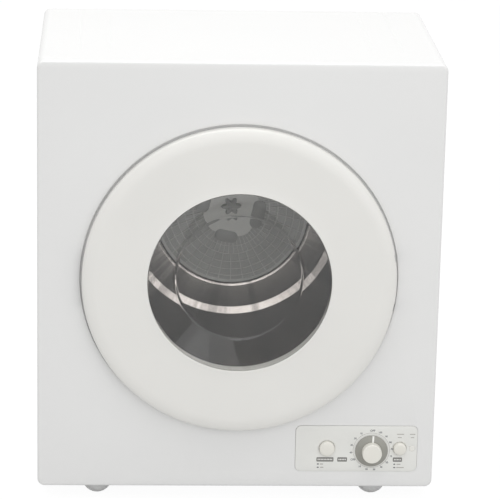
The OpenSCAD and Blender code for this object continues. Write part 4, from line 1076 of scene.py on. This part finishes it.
def make_marks():
    """Bars with pale dashes in place of words, and small lamps and lines."""
    bar_z, margin = 66.5, 1.5
    bars = [(122.7, 148.7, 10), (154.5, 169.3, 5), (239.2, 253.2, 5)]
    loops, dashes = [], []
    for a, b, count in bars:
        loops.append(rect_loop((a + b) / 2, bar_z, b - a, 7.0, 1.2, 4))
        pitch = (b - a - 2 * margin) / count
        for k in range(count):
            x = a + margin + pitch * (k + 0.5)
            dashes.append(rect_loop(x, bar_z, pitch - 0.7, 2.2, 0.3, 2))
    print_flat("fascia_label_bars", loops, PRINT_BAR)
    print_flat("fascia_label_dashes", dashes, PRINT_WHITE, -0.9, -0.84)
    lamps, lines = [], []
    for x, low, high in ((125.2, 5.5, 4.8), (241.8, 11.5, 6.2)):
        for z, length in ((59, high), (53.7, low)):
            lamps.append(rect_loop(x, z, 3.2, 1.9, 0.8, 4))
            lines.append(rect_loop(x + 3.1 + length / 2, z, length, 1.5, 0.4, 2))
    upper = ((249.6, 107.4, 11), (268, 107.4, 8.6), (248.5, 102.2, 6.2), (268, 102.2, 5))
    lines += [rect_loop(x, z, length, 1.3, 0.4, 2) for x, z, length in upper]
    print_flat("fascia_small_marks", lamps, PRINT_GREY)
    print_flat("fascia_small_lines", lines, PRINT_PALE)


def make_dial():
    """The dial's thin ring, its two scales and their upright labels."""
    outer, inner = 28.1, 27.6
    hoop = [(outer, PRINT_FRONT), (outer, PRINT_BACK)]
    hoop += [(inner, PRINT_BACK), (inner, PRINT_FRONT)]
    ring = Shape().lathe(KNOB_X, DIAL_Z, hoop, 128).piece("dial_thin_ring")
    finish_piece(ring, PRINT_PALE, "cabinet")

    # Angles of the first mark and from mark to mark, in degrees
    scales = (("dial_long_scale", 10, 66, -21), ("dial_short_scale", 4, -173, -22))
    labels = [("OFF", 88), ("OFF", -151)]
    for name, count, first, step in scales:
        outline = rect_loop(28.5, 0, 0.8, 0.4, 0.15, 2)
        shape = Shape().loft([(outline, PRINT_FRONT), (outline, PRINT_BACK)], ends=True)
        turns = math.radians(first), math.radians(step)
        centre = (KNOB_X, DIAL_Z)
        ticks = ring_of(name, shape.piece("tick"), count, PRINT_GREY, centre, *turns)
        finish_piece(ticks, PRINT_GREY, "cabinet")
        labels += [(str(10 * (count - k)), first + step * k) for k in range(count)]

    reach = 31.4
    for label, turn in labels:
        curve = bpy.data.curves.new("label", "FONT")
        curve.body = label
        curve.align_x = curve.align_y = "CENTER"
        curve.size = (4.4 if label == "OFF" else 3.7) * MM
        curve.offset = 0.12 * MM
        curve.extrude = 0.04 * MM
        text = link("label", curve)
        data = evaluated_mesh(text)
        bpy.data.objects.remove(text)
        a = math.radians(turn)
        x, z = KNOB_X + reach * math.cos(a), DIAL_Z + reach * math.sin(a)
        upright = Matrix.Rotation(math.pi / 2, 4, "X")
        data.transform(Matrix.Translation(at(x, -0.82, z)) @ upright)
        number = link(f"dial_label_{turn % 360}", data)
        finish_piece(number, PRINT_GREY, "cabinet")


def make_knob():
    skirt = [(0, -1.3), (24.2, -1.3, 0.3), (25, -1.9, 0.5), (24.6, -2.9, 0.6)]
    skirt += [(17.2, -6.2, 1.2), (0, -6.3)]
    shape = Shape().lathe(KNOB_X, KNOB_Z, soften(skirt), 128)
    shape.lathe(KNOB_X, KNOB_Z, [(0, 15), (3, 15), (3, -1.4), (0, -1.4)], 24)
    piece = shape.piece("knob_skirt_ring")
    finish_piece(piece, KNOB_GREY, "timer_knob", ["knob_skirt"])

    cap = [(0, -6.25), (15, -6.25), (14.8, -16.4, 1.4), (13.8, -17.6, 1.0), (0, -17.4)]
    piece = Shape().lathe(KNOB_X, KNOB_Z, soften(cap, 5), 96).piece("knob_cap_dome")
    finish_piece(piece, KNOB_CREAM, "timer_knob", ["knob_cap"])

    flute = Shape().box(23.6, -2.9, -0.5, 24.7, -1.6, 0.5, 0.3).piece("flute")
    flutes = ring_of("knob_skirt_flutes", flute, 48, KNOB_GREY, (KNOB_X, KNOB_Z))
    finish_piece(flutes, KNOB_GREY, "timer_knob")

    # The pointer leans a little to the right of upright
    lean = math.radians(5.5)
    section = [(-1.5, 0.0), (-1.4, 0.35), (1.4, 0.35), (1.5, 0.0)]
    rows = [(15.2, -6.45), (17.4, -6.25), (24.0, -3.3), (24.5, -2.6)]
    points = []
    for radius, depth in rows:
        for t, rise in section:
            x = t * math.cos(lean) + radius * math.sin(lean)
            z = radius * math.cos(lean) - t * math.sin(lean)
            points.append(at(KNOB_X + x, depth - rise, KNOB_Z + z))
    shape = Shape().add(points, quads(len(rows), len(section), caps=True))
    finish_piece(shape.piece("knob_pointer"), PRINT_WHITE, "timer_knob")


def make_keys():
    for x, r, body, name, node in (
        (START_X, 11.8, "start_key", "start_key_dome", "start_button"),
        (HEAT_X, 9.8, "heat_key", "heat_key_dome", "heat_button"),
    ):
        dome = [(0, -7.0), (r * 0.4, -6.94), (r * 0.7, -6.7), (r * 0.86, -6.3)]
        dome += [(r * 0.96, -5.6), (r, -4.6), (r, 2.5), (r + 1.5, 2.5), (r + 1.5, 4)]
        piece = Shape().lathe(x, KEY_Z, [*dome, (0, 4)], 80).piece(name)
        finish_piece(piece, KEY_CREAM, body, [node], 50)
    ridge = Shape().box(-0.35, -7.1, -6.0, 0.35, -6.2, 6.0, 0.3).piece("ridge")
    ridge.data.transform(Matrix.Translation((0, -FACE, 0)))
    places = [at(HEAT_X + 1.6 * k, 0, KEY_Z) for k in range(-2, 3)]
    ridges = parts_at("heat_key_ridges", ridge, places, KEY_CREAM)
    finish_piece(ridges, KEY_CREAM, "heat_key")
    lens = [(0, -1.2), (3.4, -1.15, 1), (4.4, -0.8, 0.3), (4.4, 2.2), (0, 2.2)]
    piece = Shape().lathe(LENS_X, KEY_Z, soften(lens), 40).piece("indicator_dome")
    finish_piece(piece, LENS, "cabinet", ["indicator_lens"])


# ---- carried-over parts

SHEET_PARTS = """rear_panel base_plate front_bulkhead hinge_bracket hinge_leaf
    bearing_bracket motor_bracket tensioner_bracket tensioner_arm heater_box air_duct"""
KEPT = (
    (PANEL_BACK, SHEET_PARTS),
    (FELT, "front_felt_seal rear_felt_seal"),
    (GREY_PLASTIC, "latch_housing door_strike timer_body fan_housing idler_pulley"),
    (DARK_PLASTIC, "button_switches fan_wheel cord_gland"),
    (CAST_ALLOY, "drum_hub fan_pulley drive_pulley fan_drive_pulley"),
    (SHAFT_STEEL, "drum_shaft motor_rotor tensioner_spring"),
    (BELT_RUBBER, "fan_belt drive_belt"),
    (BRONZE, "rear_bearing"),
    (MOTOR_PAINT, "motor_housing"),
    (CERAMIC, "heater_element"),
)


def dress_kept_parts():
    for material, nodes in KEPT:
        for node in nodes.split():
            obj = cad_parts[node]
            if not obj.material_slots:
                obj.data.materials.append(material)
            for place in obj.material_slots:
                place.material = material


make_front_panel()
make_side_panel(-1, "left_side_shell", "left_side_panel")
make_side_panel(1, "right_side_shell", "right_side_panel")
make_top_panel()
make_screws()
make_air_hoods()
make_rear_cover()
make_exhaust_collar()
make_feet()
make_door()
make_drum()
make_lifters()
make_filter()
make_fascia()
make_marks()
make_dial()
make_knob()
make_keys()
dress_kept_parts()


# ---- studio


def seen_rays(tree):
    """1 for rays that show a thing straight, mirrored or through glass, otherwise 0."""
    path = tree.nodes.new("ShaderNodeLightPath").outputs
    bent = math_node(tree, "MAXIMUM", path["Is Glossy Ray"], path["Is Transmission Ray"])
    return math_node(tree, "MAXIMUM", path["Is Camera Ray"], bent)


def make_floor(size=30.0, glow=1.13, share=0.83):
    data = bpy.data.meshes.new("studio_floor")
    corners = [(-size, -size, 0), (size, -size, 0), (size, size, 0), (-size, size, 0)]
    data.from_pydata(corners, [], [(0, 1, 2, 3)])
    floor = link("studio_floor", data)
    material, tree, surface = new_finish("studio_white")
    surface.inputs["Base Color"].default_value = (0.6, 0.6, 0.6, 1)
    surface.inputs["Roughness"].default_value = 0.9
    surface.inputs["Specular IOR Level"].default_value = 0.0
    light = add_node(tree, "ShaderNodeEmission", {"Color": (1, 1, 1, 1), "Strength": glow})
    seen = times(tree, seen_rays(tree), share)
    show(tree, seen, surface.outputs["BSDF"], light.outputs["Emission"])
    data.materials.append(material)


def make_world(level):
    world = bpy.data.worlds.new("studio")
    bpy.context.scene.world = world
    world.use_nodes = True
    tree = world.node_tree
    tree.nodes.clear()
    tree.nodes.new("ShaderNodeOutputWorld")
    white = (1, 1, 1, 1)
    light, shown = (
        add_node(tree, "ShaderNodeBackground", {"Color": white, "Strength": strength})
        for strength in (level, 1.0)
    )
    show(tree, seen_rays(tree), light.outputs[0], shown.outputs[0])


def make_lamp(name, place, target, size, power):
    lamp = bpy.data.lights.new(name, "AREA")
    lamp.shape = "RECTANGLE"
    lamp.size = lamp.size_y = size
    lamp.energy = power
    obj = link(name, lamp)
    obj.location = place
    aim = Vector(target) - Vector(place)
    obj.rotation_euler = aim.to_track_quat("-Z", "Y").to_euler()


def make_camera():
    right = Vector((0.99878097, -0.04485875, 0.02059765))
    up = Vector((-0.00719874, 0.28044772, 0.95984231))
    back = Vector((-0.04883389, -0.95882051, 0.27978292))
    data = bpy.data.cameras.new("view")
    data.lens = 195.92
    data.sensor_width = 36.0
    data.clip_end = 100.0
    camera = link("view", data)
    turn = Matrix((right, up, back)).transposed().to_4x4()
    camera.matrix_world = Matrix.Translation((-0.18204, -4.06415, 1.52569)) @ turn
    bpy.context.scene.camera = camera


make_floor()
make_world(0.67)
make_lamp("key", (-0.2, -0.3, 3.3), (0, 0, 0.4), 3.0, 50)
make_lamp("fill", (0.9, -3.8, 1.1), (0, 0, 0.3), 5.0, 66)
make_camera()
bpy.context.scene.view_settings.view_transform = "Standard"
